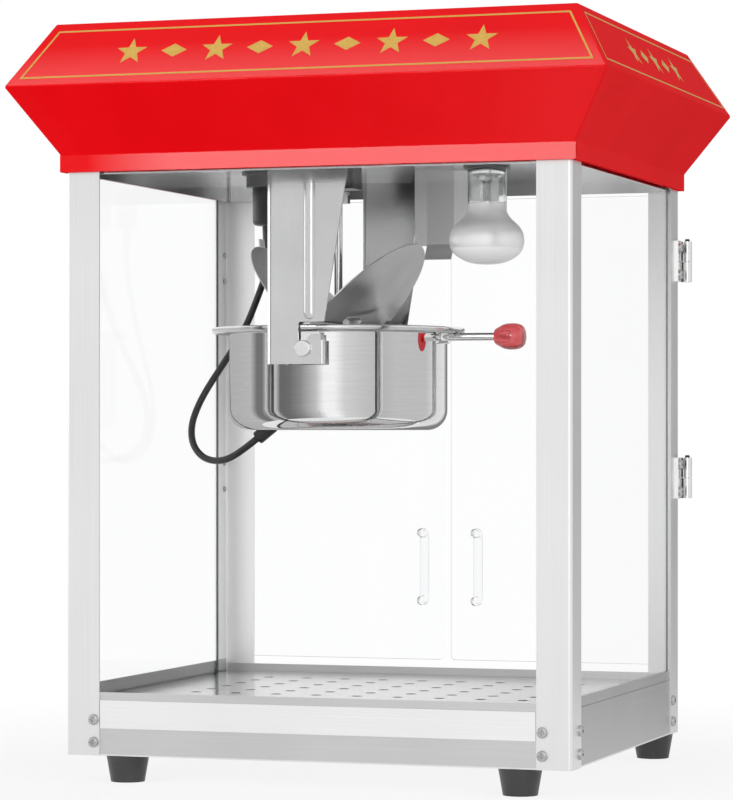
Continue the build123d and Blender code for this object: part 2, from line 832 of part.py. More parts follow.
def make_hanger(side, left, right, tapered, bend, bend_width):
    """A hanger on the front (-1) or rear (1) side, its foot screwed under the ceiling."""
    near = side * (hanger_y - hanger_sheet / 2)
    far = side * (hanger_y + hanger_sheet / 2)
    screws = front_hanger_screws if side < 0 else rear_hanger_screws
    face = Plane((0, near, 0), x_dir=(1, 0, 0), z_dir=(0, -1, 0))
    with BuildPart() as hanger:
        with BuildSketch(face):
            with BuildLine():
                Polyline(
                    (left + bend_width, hanger_bottom),
                    (left + bend_width, ceiling_height),
                    (right, ceiling_height),
                    (right, hanger_taper_top),
                    (tapered, slot_top),
                    (tapered, hook_top),
                    (hook_right - hanger_sheet, hook_top),
                    (hook_right - hanger_sheet, hanger_bottom),
                    close=True,
                )
            make_face()
        extrude(amount=-side * hanger_sheet)
        seat_left = pivot_x - seat_radius
        seat_right = pivot_x + seat_radius
        slab(seat_left, right + sheet, near, far, hook_top, slot_top, Mode.SUBTRACT)
        slab(seat_left, seat_right, near, far, pivot_height, slot_top, Mode.SUBTRACT)
        bar((pivot_x, near, pivot_height), seat_radius, hanger_sheet, (0, side, 0), Mode.SUBTRACT)
        hook_tip = hanger.edges().filter_by(Axis.Y).sort_by_distance((seat_right, near, hook_top))
        fillet(hook_tip[0], hook_corner)
        slot_end = hanger.edges().filter_by(Axis.Y).sort_by_distance((seat_left, near, slot_top))
        fillet(slot_end[0], slot_corner)
        hook_bend = 2 * hanger_sheet
        for edge_x, turn, bend_radius, width, high in (
            (left + bend_width, -1, bend, bend_width, ceiling_height),
            (hook_right - hanger_sheet, 1, hook_bend, hook_bend, hook_top - hook_corner),
        ):
            low = hanger_bottom
            with BuildSketch(Plane.XY.offset(low)):
                with Locations((edge_x, far - side * bend_radius)):
                    Circle(bend_radius)
                    Circle(bend_radius - hanger_sheet, mode=Mode.SUBTRACT)
                with Locations((edge_x + turn * width / 2, far)):
                    Rectangle(width, 2 * bend_radius, mode=Mode.INTERSECT)
            extrude(amount=high - low)
        rib_middle = (rib_top + rib_bottom) / 2
        rib_y = far - side * rib_sink
        with Locations((rib_x, rib_y, rib_middle)):
            Cylinder(rib_radius, rib_top - rib_bottom)
        for rib_end in (rib_bottom, rib_top):
            with Locations((rib_x, rib_y, rib_end)):
                Sphere(rib_radius)
        slab(
            rib_x - rib_radius,
            rib_x + rib_radius,
            near,
            near - side * 2 * rib_radius,
            rib_bottom - rib_radius,
            rib_top + rib_radius,
            Mode.SUBTRACT,
        )
        slab(left, right, far, far + side * hanger_foot, ceiling_height - hanger_sheet, ceiling_height)
        with Locations(*screws):
            Cylinder(screw_hole_radius, 6 * sheet, mode=Mode.SUBTRACT)
    return hanger


front_bend = (hanger_bend, hanger_bend_width)
rear_bend = (rear_hanger_bend, rear_hanger_bend)
save(make_hanger(-1, hanger_left, hanger_right, hanger_taper_x, *front_bend), "hanger_front")
save(make_hanger(1, rear_hanger_left, hanger_right, hanger_taper_x, *rear_bend), "hanger_rear")

# Drive: gear motor on the ceiling, bearing block below it, hub with an open slot for the shaft
stem_bore = stem_radius + running_gap
with BuildPart() as gear_motor:
    with Locations((kettle_x, 0, ceiling_top)):
        Box(gearbox_width, gearbox_depth, gearbox_height, align=(Align.CENTER, Align.CENTER, Align.MIN))
    fillet(gear_motor.edges().filter_by(Axis.Z), corner_radius)
    motor_z = ceiling_top + motor_radius + sheet
    bar((kettle_x + gearbox_width / 2, 0, motor_z), motor_radius, motor_length, (1, 0, 0))
    bar((kettle_x, 0, ceiling_top), stem_bore, stem_top - ceiling_top + sheet, (0, 0, 1), Mode.SUBTRACT)
save(gear_motor, "gear_motor")

with BuildPart() as drive_block:
    with Locations((kettle_x, 0, block_bottom)):
        block_height = ceiling_height - block_bottom
        Box(block_width, block_depth, block_height, align=(Align.CENTER, Align.CENTER, Align.MIN))
    fillet(drive_block.edges().filter_by(Axis.Z), corner_radius)
    bar((kettle_x, 0, block_bottom), stem_bore, block_height, (0, 0, 1), Mode.SUBTRACT)
save(drive_block, "drive_block")

with BuildPart() as drive_hub:
    bar((kettle_x, 0, hub_bottom), hub_radius, hub_top - hub_bottom, (0, 0, 1))
    slot_half = tang_half_width + tang_gap
    slab(
        kettle_x - hub_radius,
        kettle_x + hub_radius,
        -slot_half,
        slot_half,
        hub_bottom,
        hub_slot_top,
        Mode.SUBTRACT,
    )
    bar((kettle_x, 0, hub_top), stem_radius, stem_top - hub_top, (0, 0, 1))
save(drive_hub, "drive_hub")

# Lamp: holder under the ceiling, metal cap, reflector bulb
cap_bore = bulb_cap_radius + running_gap
with BuildPart() as lampholder:
    holder_base = (lamp_x, lamp_y, lampholder_bottom)
    bar(holder_base, lampholder_radius, lampholder_length, (0, 0, 1))
    bar(holder_base, cap_bore, bulb_cap_top - lampholder_bottom, (0, 0, 1), Mode.SUBTRACT)
    lower_edges = lampholder.edges().filter_by(GeomType.CIRCLE).group_by(Axis.Z)[0]
    fillet(lower_edges.sort_by(SortBy.RADIUS)[-1], sheet)
save(lampholder, "lampholder")

with BuildPart() as bulb_cap:
    bar((lamp_x, lamp_y, bulb_neck_top), bulb_cap_radius, bulb_cap_top - bulb_neck_top, (0, 0, 1))
save(bulb_cap, "bulb_cap")

with BuildPart() as bulb:
    with BuildSketch(Plane((lamp_x, lamp_y, bulb_bottom), x_dir=(1, 0, 0), z_dir=(0, -1, 0))):
        with BuildLine():
            neck_end = (bulb_cap_radius + sheet, bulb_length)
            Spline((0, 0), *bulb_profile, neck_end, tangents=((1, 0), (-0.3, 1)))
            Polyline(neck_end, (0, bulb_length), (0, 0))
        make_face()
    revolve(axis=Axis((lamp_x, lamp_y, 0), (0, 0, 1)))
save(bulb, "bulb")

# Lamp shield: a bent plate behind the lamp with a small folded flap at its lower edge
shield_plan = [
    (shield_left, shield_y + shield_turn_back),
    (shield_left + shield_turn, shield_y),
    (shield_left + shield_turn + shield_face, shield_y),
    (shield_right, shield_y + shield_side_back),
]
flap_back = Vector(0, cos(radians(flap_slant)), -sin(radians(flap_slant)))
flap_plane = Plane((shield_plan[1][0], shield_y, shield_bottom + sheet), x_dir=(1, 0, 0), z_dir=flap_back)
with BuildPart() as lamp_shield:
    with BuildSketch(Plane.XY.offset(shield_bottom)):
        with BuildLine() as plan:
            Polyline(*shield_plan)
            offset(amount=sheet, side=Side.LEFT)
        make_face()
    extrude(amount=ceiling_height - shield_bottom)
    flange_left = shield_left + hanger_screw_inset / 2
    flange_right = shield_right - hanger_screw_inset / 2
    slab(
        flange_left,
        flange_right,
        shield_y,
        shield_y + hanger_foot,
        ceiling_height - hanger_sheet,
        ceiling_height,
    )
    with Locations(flap_plane):
        flap_width = shield_plan[2][0] - shield_plan[1][0]
        Box(flap_width, shield_flap, sheet, align=(Align.MIN, Align.MIN, Align.MIN))
    with Locations(*shield_screws):
        Cylinder(screw_hole_radius, 6 * sheet, mode=Mode.SUBTRACT)
save(lamp_shield, "lamp_shield")

# Kettle socket in the ceiling and the plug in it
with BuildPart() as kettle_socket:
    bar((socket_x, socket_y, socket_bottom), socket_radius, ceiling_height - socket_bottom, (0, 0, 1))
    bar((socket_x, socket_y, ceiling_height), socket_flange_radius, 2 * sheet, (0, 0, -1))
save(kettle_socket, "kettle_socket")

with BuildPart() as kettle_plug:
    bar((socket_x, socket_y, plug_bottom), plug_radius, socket_bottom - plug_bottom, (0, 0, 1))
    fillet(kettle_plug.edges().group_by(Axis.Z)[0], plug_radius / 3)
    with BuildSketch(Plane((socket_x, socket_y, plug_neck_bottom))):
        Circle(cord_radius + sheet)
    with BuildSketch(Plane((socket_x, socket_y, plug_bottom))):
        Circle(plug_neck_radius)
    loft()
save(kettle_plug, "kettle_plug")

# Kettle: shell with its floor, base plate, heating ring, studs, handle
lip_radius = rim_thickness / 2
kettle_axis = Axis((kettle_x, 0, 0), (0, 0, 1))
with BuildPart() as kettle_shell:
    with BuildSketch(Plane((kettle_x, 0, 0), x_dir=(1, 0, 0), z_dir=(0, -1, 0))):
        with BuildLine():
            corner_z = kettle_bottom + kettle_corner
            lip_bottom = rim_top - rim_thickness
            lip_x = rim_radius - lip_radius
            inner_corner = kettle_corner - kettle_wall
            RadiusArc((base_radius, kettle_bottom), (kettle_radius, corner_z), -kettle_corner)
            Polyline((kettle_radius, corner_z), (kettle_radius, lip_bottom), (lip_x, lip_bottom))
            ThreePointArc((lip_x, lip_bottom), (rim_radius, rim_top - lip_radius), (lip_x, rim_top))
            Polyline(
                (lip_x, rim_top),
                (kettle_inner, rim_top),
                (kettle_inner, kettle_floor),
                (0, kettle_floor),
                (0, kettle_floor - kettle_wall),
                (kettle_inner, kettle_floor - kettle_wall),
                (kettle_inner, corner_z),
            )
            RadiusArc((kettle_inner, corner_z), (base_radius, kettle_bottom + kettle_wall), inner_corner)
            Line((base_radius, kettle_bottom + kettle_wall), (base_radius, kettle_bottom))
        make_face()
    revolve(axis=kettle_axis)
save(kettle_shell, "kettle_shell")

with BuildPart() as kettle_base:
    bar((kettle_x, 0, kettle_bottom), base_radius - running_gap, base_plate_thickness, (0, 0, 1))
save(kettle_base, "kettle_base")

with BuildPart() as kettle_heater:
    with Locations((kettle_x, 0, kettle_floor - kettle_wall - coil_thickness / 2)):
        Torus(coil_radius, coil_thickness / 2)
save(kettle_heater, "kettle_heater")

stud_start = sqrt(kettle_radius**2 - (pivot_offset - pivot_radius) ** 2)
stud_end = hanger_y + hanger_sheet / 2 + knuckle_gap
plate_y = rim_radius - pivot_plate_gap
with BuildPart() as kettle_pivots:
    for side in (-1, 1):
        stud_root = (pivot_x, side * stud_start, pivot_height)
        bar(stud_root, pivot_radius, stud_end - stud_start, (0, side, 0))
        slab(
            pivot_x - pivot_plate_left,
            pivot_x + pivot_plate_right,
            side * plate_y,
            side * (plate_y - kettle_wall),
            pivot_height - pivot_plate_drop,
            rim_top - rim_thickness - pivot_plate_lip_gap,
        )
        head_root = (pivot_x, side * stud_end, pivot_height)
        bar(head_root, pivot_head_radius, pivot_head_thickness, (0, side, 0))
    heads = kettle_pivots.edges().filter_by(GeomType.CIRCLE).group_by(Axis.Y)
    fillet(heads[0] + heads[-1], pivot_head_thickness / 3)
save(kettle_pivots, "kettle_pivots")

knob_seat = (knob_start_x + knob_end_x) / 2
with BuildPart() as handle_rod:
    bar((handle_start, 0, handle_height), handle_radius, knob_seat - handle_start, (1, 0, 0))
    bar((handle_start, 0, handle_height), handle_boss_radius, handle_boss_length, (1, 0, 0))
    slab(
        handle_start,
        handle_start + handle_boss_length,
        -handle_boss_radius,
        handle_boss_radius,
        rim_top - rim_thickness - knuckle_gap,
        rim_top,
        Mode.SUBTRACT,
    )
save(handle_rod, "handle_rod")

with BuildPart() as handle_knob:
    with BuildSketch(Plane((0, 0, handle_height), x_dir=(1, 0, 0), z_dir=(0, -1, 0))):
        with BuildLine():
            collar = (knob_start_x + sheet, knob_neck_radius)
            shoulder = (knob_end_x - knob_head_radius * 0.8, knob_head_radius)
            Polyline((knob_seat, 0), (knob_seat, handle_radius), (knob_start_x, handle_radius))
            Polyline((knob_start_x, handle_radius), (knob_start_x, knob_neck_radius - sheet), collar)
            Line(collar, shoulder)
            dome = knob_end_x - shoulder[0]
            EllipticalCenterArc((shoulder[0], 0), dome, knob_head_radius, start_angle=0, arc_size=90)
            Line((knob_end_x, 0), (knob_seat, 0))
        make_face()
    revolve(axis=Axis((0, 0, handle_height), (1, 0, 0)))
save(handle_knob, "handle_knob")

# Crossbar over the kettle: bearing for the stirrer and ears with the lid rods
bar_half = crossbar_width / 2
bar_top = rim_top + crossbar_thickness
ear_half = lid_axis_offset + lid_knuckle_radius - sheet / 2
with BuildPart() as crossbar:
    slab(
        kettle_x - bar_half,
        kettle_x + bar_half,
        -crossbar_half_length,
        crossbar_half_length,
        rim_top,
        bar_top,
    )
    bar((kettle_x, 0, rim_top), bearing_radius, bearing_top - rim_top, (0, 0, 1))
    bar((kettle_x, 0, rim_top), shaft_radius + running_gap, bearing_top - rim_top, (0, 0, 1), Mode.SUBTRACT)
    for end in (-1, 1):
        for ear_y in (lid_inner_ear, lid_outer_ear):
            slab(
                kettle_x - ear_half,
                kettle_x + ear_half,
                end * ear_y,
                end * (ear_y + ear_thickness),
                bar_top,
                lid_axis_height + lid_knuckle_radius,
            )
        rod_length = lid_outer_ear + ear_thickness - lid_inner_ear
        for side in (-1, 1):
            rod_start = (kettle_x + side * lid_axis_offset, end * lid_inner_ear, lid_axis_height)
            bar(rod_start, lid_rod_radius, rod_length, (0, end, 0))
save(crossbar, "crossbar")

# Lids: half discs on the rods, standing open
knuckle_near = lid_inner_ear + ear_thickness + lid_ear_gap
knuckle_far = lid_outer_ear - lid_ear_gap
lid_start = 2 * lid_knuckle_radius
open_cos = cos(radians(lid_open))
open_sin = sin(radians(lid_open))
for side, side_name in ((-1, "left"), (1, "right")):
    hinge_point = Vector(kettle_x + side * lid_axis_offset, 0, lid_axis_height)
    outward = Vector(side * open_cos, 0, open_sin)
    upward = Vector(-side * open_sin, 0, open_cos)
    lid_origin = hinge_point - upward * lid_knuckle_radius
    lid_face = Plane(lid_origin, x_dir=outward, z_dir=upward)
    with BuildPart() as lid:
        with BuildSketch(lid_face):
            with Locations((-lid_axis_offset, 0)):
                Circle(lid_radius)
            with Locations((lid_start, 0)):
                square = (Align.MIN, Align.CENTER)
                Rectangle(2 * lid_radius, 2 * lid_radius, align=square, mode=Mode.INTERSECT)
            for end in (-1, 1):
                with Locations((lid_start / 2, end * (knuckle_near + knuckle_far) / 2)):
                    Rectangle(lid_start, knuckle_far - knuckle_near)
        extrude(amount=lid_thickness)
        tip = lid_origin + outward * (lid_radius - lid_axis_offset - sheet)
        tab_angle = radians(lid_open + tab_bend)
        tab_out = Vector(side * cos(tab_angle), 0, sin(tab_angle))
        tab_up = Vector(-side * sin(tab_angle), 0, cos(tab_angle))
        with Locations(Plane(tip, x_dir=tab_out, z_dir=tab_up)):
            Box(tab_length, tab_width, lid_thickness, align=(Align.MIN, Align.CENTER, Align.MIN))
        for end in (-1, 1):
            knuckle_start = hinge_point + Vector(0, end * knuckle_near, 0)
            bar(knuckle_start, lid_knuckle_radius, knuckle_far - knuckle_near, (0, end, 0))
            bore_radius = lid_rod_radius + running_gap
            bar(knuckle_start, bore_radius, knuckle_far - knuckle_near, (0, end, 0), Mode.SUBTRACT)
    save(lid, f"{side_name}_lid")

# Stirrer: shaft with a flat tang at the top, blade just above the kettle's floor
blade_bottom = kettle_floor + blade_gap
with BuildPart() as stirrer_shaft:
    bar((kettle_x, 0, blade_bottom), shaft_radius, shaft_top - blade_bottom, (0, 0, 1))
    for side in (-1, 1):
        slab(
            kettle_x - shaft_radius,
            kettle_x + shaft_radius,
            side * tang_half_width,
            side * 2 * shaft_radius,
            tang_bottom,
            shaft_top,
            Mode.SUBTRACT,
        )
save(stirrer_shaft, "stirrer_shaft")

with BuildPart() as stirrer_blade:
    slab(
        kettle_x - blade_radius,
        kettle_x + blade_radius,
        -blade_width / 2,
        blade_width / 2,
        blade_bottom,
        blade_bottom + blade_thickness,
    )
    fillet(stirrer_blade.edges().filter_by(Axis.Z), blade_width / 3)
    bar((kettle_x, 0, blade_bottom), blade_hub_radius, blade_hub_height, (0, 0, 1))
    bar((kettle_x, 0, blade_bottom), shaft_radius, blade_hub_height, (0, 0, 1), Mode.SUBTRACT)
save(stirrer_blade, "stirrer_blade")

# Kettle cord: from a slanted gland under the kettle, round a slack loop, up to the plug
gland_root = Vector(*gland_point)
gland_way = Vector(*gland_direction).normalized()
gland_end = gland_root + gland_way * gland_length
with BuildPart() as kettle_gland:
    bar(gland_root, gland_radius, gland_length, gland_way)
    bar(gland_root, cord_radius, gland_length - 2 * cord_radius, gland_way, Mode.SUBTRACT)
    split(bisect_by=Plane.XY.offset(kettle_bottom), keep=Keep.BOTTOM)
save(kettle_gland, "kettle_gland")

plug_end = Vector(socket_x, socket_y, plug_neck_bottom)
cord_points = [gland_end, gland_end + gland_way * cord_lead]
cord_points += [Vector(*point) for point in cord_route]
cord_points += [plug_end - Vector(0, 0, cord_lead), plug_end]
cord_radii = []
cord_length = 0.0
for before, point, after in zip(cord_points, cord_points[1:], cord_points[2:]):
    turn = radians((point - before).get_angle(after - point))
    shorter = min((point - before).length, (after - point).length)
    radius = 0.45 * shorter / tan(turn / 2)
    cord_radii.append(radius)
    cord_length += radius * (turn - 2 * tan(turn / 2))
for before, after in zip(cord_points, cord_points[1:]):
    cord_length += (after - before).length
with BuildPart() as kettle_cord:
    with BuildLine():
        FilletPolyline(*cord_points, radius=cord_radii)
    with BuildSketch(Plane(gland_end, z_dir=gland_way)):
        Circle(cord_radius)
    sweep()
save(kettle_cord, "kettle_cord")
print("cord radii", [round(radius, 1) for radius in cord_radii])
section_volume = pi * cord_radius**2 * cord_length
print("cord length", round(cord_length, 1), "volume", round(kettle_cord.part.volume), round(section_volume))

# Rocker switches and the power gland on the rear slope
rocker_half = rocker_length / 2
cavity_length = rocker_length + 2 * rocker_swing
cavity_depth = 2 * rocker_drop
with BuildPart() as switch_housings:
    for place in switch_places.values():
        with Locations(place):
            Box(switch_width, switch_length, switch_bezel, align=(Align.CENTER, Align.CENTER, Align.MIN))
            Box(housing_width, housing_length, switch_depth, align=(Align.CENTER, Align.CENTER, Align.MAX))
        with Locations(place.offset(switch_bezel)):
            cavity = (rocker_width + 2 * rocker_gap, cavity_length, cavity_depth + switch_bezel)
            Box(*cavity, align=(Align.CENTER, Align.CENTER, Align.MAX), mode=Mode.SUBTRACT)
        pin_reach = rocker_width / 2 + rocker_gap + rocker_pin_reach
        pin_start = place.offset(rocker_pivot).origin - Vector(pin_reach, 0, 0)
        bar(pin_start, rocker_pin_radius + running_gap, 2 * pin_reach, (1, 0, 0), Mode.SUBTRACT)
save(switch_housings, "switch_housings")

tilt_cos = cos(radians(rocker_tilt))
tilt_sin = sin(radians(rocker_tilt))
for name, place in switch_places.items():
    pivot = place.offset(rocker_pivot).origin
    along = slope_down * tilt_cos - slope_normal * tilt_sin
    with BuildPart() as rocker:
        with BuildSketch(Plane(pivot, x_dir=along, z_dir=(1, 0, 0))):
            with BuildLine():
                Polyline(
                    (-rocker_half, 0),
                    (-rocker_half, rocker_rise),
                    (0, rocker_rise - rocker_dip),
                    (rocker_half, rocker_rise),
                    (rocker_half, 0),
                    (rocker_half / 2, -rocker_drop),
                    (-rocker_half / 2, -rocker_drop),
                    close=True,
                )
            make_face()
        extrude(amount=rocker_width / 2, both=True)
        pin_length = rocker_width + 2 * (rocker_gap + rocker_pin_reach)
        bar(pivot - Vector(pin_length / 2, 0, 0), rocker_pin_radius, pin_length, (1, 0, 0))
    save(rocker, f"rocker_{name}")

with BuildPart() as power_gland:
    bar(gland_place.origin, power_gland_radius, power_gland_rise, slope_normal)
    fillet(power_gland.edges().filter_by(GeomType.CIRCLE).sort_by_distance((0, 0, 0))[-1], sheet)
    bar(gland_place.origin, stem_gland_radius, power_gland_rise, -slope_normal)
save(power_gland, "power_gland")
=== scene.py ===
import json
import math

import bmesh
import bpy
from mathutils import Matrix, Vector


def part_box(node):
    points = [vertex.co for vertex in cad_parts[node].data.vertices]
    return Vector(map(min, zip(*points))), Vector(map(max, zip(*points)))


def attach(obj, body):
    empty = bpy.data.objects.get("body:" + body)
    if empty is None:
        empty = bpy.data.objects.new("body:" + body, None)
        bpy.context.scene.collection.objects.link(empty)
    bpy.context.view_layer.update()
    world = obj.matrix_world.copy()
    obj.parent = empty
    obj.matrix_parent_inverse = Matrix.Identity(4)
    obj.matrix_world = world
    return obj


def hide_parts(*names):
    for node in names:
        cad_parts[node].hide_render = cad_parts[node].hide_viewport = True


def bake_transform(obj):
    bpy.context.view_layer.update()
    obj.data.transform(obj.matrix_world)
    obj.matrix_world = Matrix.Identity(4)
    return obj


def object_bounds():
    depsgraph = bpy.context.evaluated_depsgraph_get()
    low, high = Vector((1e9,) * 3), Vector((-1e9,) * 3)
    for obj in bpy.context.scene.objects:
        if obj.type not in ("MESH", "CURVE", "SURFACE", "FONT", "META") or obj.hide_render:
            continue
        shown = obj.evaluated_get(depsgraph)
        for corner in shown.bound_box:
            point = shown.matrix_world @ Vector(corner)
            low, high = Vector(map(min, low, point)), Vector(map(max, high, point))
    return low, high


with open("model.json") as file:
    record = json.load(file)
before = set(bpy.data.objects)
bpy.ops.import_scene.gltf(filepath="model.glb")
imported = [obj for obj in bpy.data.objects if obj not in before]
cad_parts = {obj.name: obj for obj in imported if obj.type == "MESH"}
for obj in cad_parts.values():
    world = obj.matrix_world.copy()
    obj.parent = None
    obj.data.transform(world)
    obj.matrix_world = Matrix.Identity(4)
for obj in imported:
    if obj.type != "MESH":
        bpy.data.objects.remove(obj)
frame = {"nodes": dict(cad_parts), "record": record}
cad_low, cad_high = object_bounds()
MM = 0.001

# Camera, as the photograph was taken: level, from the front right, with a long lens
CAMERA_PLACE = (0.8915, -2.7161, 0.288)
CAMERA_TURN = math.radians(18.47)
CAMERA_LENS = 150.34
CAMERA_SENSOR = 36.0
CAMERA_SHIFT_UP = 0.03965

# Points traced on a smooth line for each of its control points
LINE_STEPS = 10

# Kettle cord: the route's points from the kettle's gland to the plug, in millimetres
CORD_ROUTE = (
    (-116.16, 4.36, 282.83),
    (-132.11, 5.95, 270.87),
    (-151.0, 11.0, 262.0),
    (-171.0, 18.0, 263.5),
    (-185.0, 25.0, 275.0),
    (-189.5, 31.0, 292.0),
    (-185.5, 37.0, 310.0),
    (-178.0, 43.0, 327.0),
    (-168.0, 48.0, 344.0),
    (-157.0, 52.0, 362.0),
    (-146.5, 55.5, 381.0),
    (-137.5, 58.0, 404.0),
    (-127.6, 60.0, 432.0),
    (-127.6, 60.0, 452.0),
)
CORD_RADIUS = 3.0 * MM
CORD_SIDES = 20

# Canopy slopes that carry the printed trim: the waist's height and half widths, and how far the
# crown stands inside it
WAIST_HEIGHT = 569.5 * MM
WAIST_HALF = (254.0 * MM, 222.0 * MM)
CROWN_INSET = 32.5 * MM

# Printed trim: a border line, then stars with lozenges between them
TRIM_EDGE = 7.5 * MM
TRIM_LINE = 1.5 * MM
TRIM_FILM = 0.12 * MM
TRIM_LIFT = 0.03 * MM
STAR_POINTS = 5
STAR_RADIUS = 13.5 * MM
STAR_WAIST = 0.40
STAR_PITCH = 74.0 * MM
LOZENGE_LONG = 11.0 * MM
LOZENGE_HIGH = 6.5 * MM

# Stars on each side of the middle one
FRONT_STARS = 2
SIDE_STARS = 1

# Reflector bulb: control points of its outline as (radius, height) from its lowest point, in millimetres
BULB_OUTLINE = (
    (0.0, 0.0),
    (11.0, 0.0),
    (22.5, 4.5),
    (29.8, 11.0),
    (31.6, 21.0),
    (28.6, 30.5),
    (19.5, 38.2),
    (15.8, 45.0),
    (15.8, 56.0),
    (15.8, 78.4),
)
BULB_WALL = 0.9
BULB_SIDES = 72

# Heights of the seam round the bulb's face and of the end of its frost, in millimetres, and how soft
# each line is as a share of the bulb's height
FACE_LINE = 13.8
FACE_BLUR = 0.008
FROST_LINE = 50.5
FROST_BLUR = 0.02

# Stem inside the bulb as (radius, height), and the two ends of a lead wire as (spread, height)
STEM_OUTLINE = (
    (0.0, 45.0),
    (2.6, 45.0),
    (3.4, 48.0),
    (3.2, 60.0),
    (3.6, 68.0),
    (9.5, 73.0),
    (9.5, 75.0),
    (0.0, 75.0),
)
STEM_SIDES = 36
LEAD_ENDS = ((1.8, 44.0), (2.2, 70.0))
LEAD_RADIUS = 0.5
LEAD_SIDES = 12

# Handle knob: control points of its outline as (distance from its rim, radius), and its bore, in millimetres
KNOB_OUTLINE = (
    (0.0, 4.4),
    (0.0, 6.0),
    (2.6, 7.6),
    (8.5, 10.8),
    (17.0, 11.5),
    (24.2, 9.8),
    (26.6, 5.2),
    (26.6, 0.0),
)
KNOB_BORE = 3.5
KNOB_BORE_DEPTH = 13.6
KNOB_SIDES = 64

# Rolled bead under the kettle's rim
BEAD_RADIUS = 2.7 * MM
BEAD_SIDES = 16
RIM_SIDES = 160

# Round bars of the door pulls, in millimetres
PULL_RADIUS = 4.2
PULL_GAP = 0.05
PULL_SIDES = 20

# Cut edges of the side panes, whose bevel is one of so many parts of half their thickness
EDGE_INSET = 0.25 * MM
EDGE_WIDTH = 2.6 * MM
EDGE_BEVEL_PARTS = 3

# A radius under this lies on the axis of a turned piece
ON_AXIS = 1e-6

# Noise values between which a finish goes from its first look to its second, and how rough the noise is
DRIFT = (0.3, 0.7)
NOISE_ROUGHNESS = 0.55

# Grain per metre along x, y and z: upright, along x or y, soft on sheets that face the front, round a
# turned piece, and on the lids
GRAIN_UPRIGHT = (1500.0, 1500.0, 10.0)
GRAIN_X = (8.0, 1500.0, 1500.0)
GRAIN_Y = (1500.0, 8.0, 1500.0)
GRAIN_SOFT = (12.0, 900.0, 12.0)
GRAIN_TURNED = (30.0, 30.0, 700.0)
GRAIN_LID = (40.0, 40.0, 12.0)

# Share of the grain in a steel's drift, and the cloud per metre that makes up the rest
GRAIN_SHARE = 0.6
STEEL_CLOUD = 9.0

# Steels: greys, roughness as two values or as one all over, grain, relief in metres and, where it
# isn't 1, how metallic they are
STEELS = {
    "satin_steel": ((0.72, 0.79), (0.32, 0.42), GRAIN_UPRIGHT, 0.000004),
    # Painted light: a lighter copy of satin_steel, standing for light that falls on the rear left post
    "painted_light_steel": ((0.86, 0.92), (0.34, 0.44), GRAIN_UPRIGHT, 0.000004, 0.6),
    "band_steel": ((0.80, 0.87), (0.34, 0.44), GRAIN_X, 0.000004),
    "brushed_x": ((0.54, 0.62), (0.36, 0.46), GRAIN_X, 0.000006),
    # Grain along y is real; its grey, darker than brushed_x, is painted shade on the side aprons
    "brushed_y_painted_shade": ((0.42, 0.49), (0.32, 0.42), GRAIN_Y, 0.000006),
    "bright_steel": ((0.52, 0.64), (0.14, 0.24), GRAIN_SOFT, 0.000003),
    "polished_steel": ((0.78, 0.86), 0.0, GRAIN_TURNED, 0.000001),
    "plated_steel": ((0.66, 0.78), (0.14, 0.22), 160.0, 0.000004),
    "screw_steel": ((0.36, 0.52), (0.20, 0.30), 240.0, 0.000008),
    "shield_steel": ((0.62, 0.72), (0.42, 0.55), GRAIN_SOFT, 0.000004, 0.45),
    "lid_steel": ((0.62, 0.76), (0.26, 0.36), GRAIN_LID, 0.000006),
    # Painted shade: a darker copy of polished_steel for the rim bead, standing for shade under the rim's lip
    "painted_shade_rim_steel": ((0.42, 0.52), (0.10, 0.18), GRAIN_TURNED, 0.000001),
    # Painted shade: a darker copy of bright_steel for the rear hanger, standing for the shade it sits in
    "painted_shade_steel": ((0.34, 0.46), (0.14, 0.24), GRAIN_SOFT, 0.000003),
    "heater_metal": ((0.32, 0.46), (0.30, 0.45), 90.0, 0.00002),
}

# Moulded plastics and rubbers: dark and light colour, roughness, pebble per metre and relief in metres
MOULDED = {
    "black_rubber": ((0.028, 0.028, 0.029), (0.045, 0.045, 0.046), (0.32, 0.44), 900.0, 0.00006),
    "cord_rubber": ((0.012, 0.012, 0.013), (0.020, 0.020, 0.021), (0.38, 0.50), 1400.0, 0.00004),
    "black_plastic": ((0.012, 0.012, 0.013), (0.022, 0.022, 0.024), (0.28, 0.40), 1100.0, 0.00004),
    "rocker_plastic": ((0.014, 0.014, 0.015), (0.024, 0.024, 0.026), (0.20, 0.30), 1500.0, 0.00002),
}

# Clear sheets: tint where they are cloudy and where they are clear, and index of refraction
CLEAR_SHEETS = {
    "pane_glass": ((0.990, 0.994, 0.992), (0.997, 0.998, 0.998), 1.12),
    "clear_acrylic": ((0.992, 0.994, 0.996), (0.998, 0.998, 0.999), 1.12),
    "pull_acrylic": ((0.96, 0.97, 0.98), (0.99, 0.99, 0.995), 1.4),
}

# Pieces with a finish of their own within their slot, such as sheets whose grain runs along them, and
# pieces whose grey is painted lighter or darker to stand for light and shade
OWN_FINISH = {
    "front_apron": "brushed_x",
    "front_band": "band_steel",
    "rear_apron": "brushed_x",
    # The side aprons are darker than the front ones: painted shade on the sides
    "left_apron": "brushed_y_painted_shade",
    "right_apron": "brushed_y_painted_shade",
    "cabinet_screws": "screw_steel",
    "left_door_screws": "screw_steel",
    "right_door_screws": "screw_steel",
    # Painted shade: the rear hanger is darker than its mirrored front twin
    "hanger_rear": "painted_shade_steel",
    "handle_rod": "polished_steel",
    # Painted light: the rear left post is lighter than the other posts
    "post_rear_left": "painted_light_steel",
    "lamp_shield": "shield_steel",
    "left_lid": "lid_steel",
    "right_lid": "lid_steel",
}

# Soft light of the room on everything that isn't seen straight, in gloss or through glass
ROOM_LIGHT = 0.5

# Floor, and how it fades into white away from the object, as stops of (share of the reach, white)
FLOOR_RADIUS = 14.0
FLOOR_SIDES = 96
FLOOR_REACH = 2.0
FLOOR_FADE = ((0.16, 0.82), (0.40, 1.0))

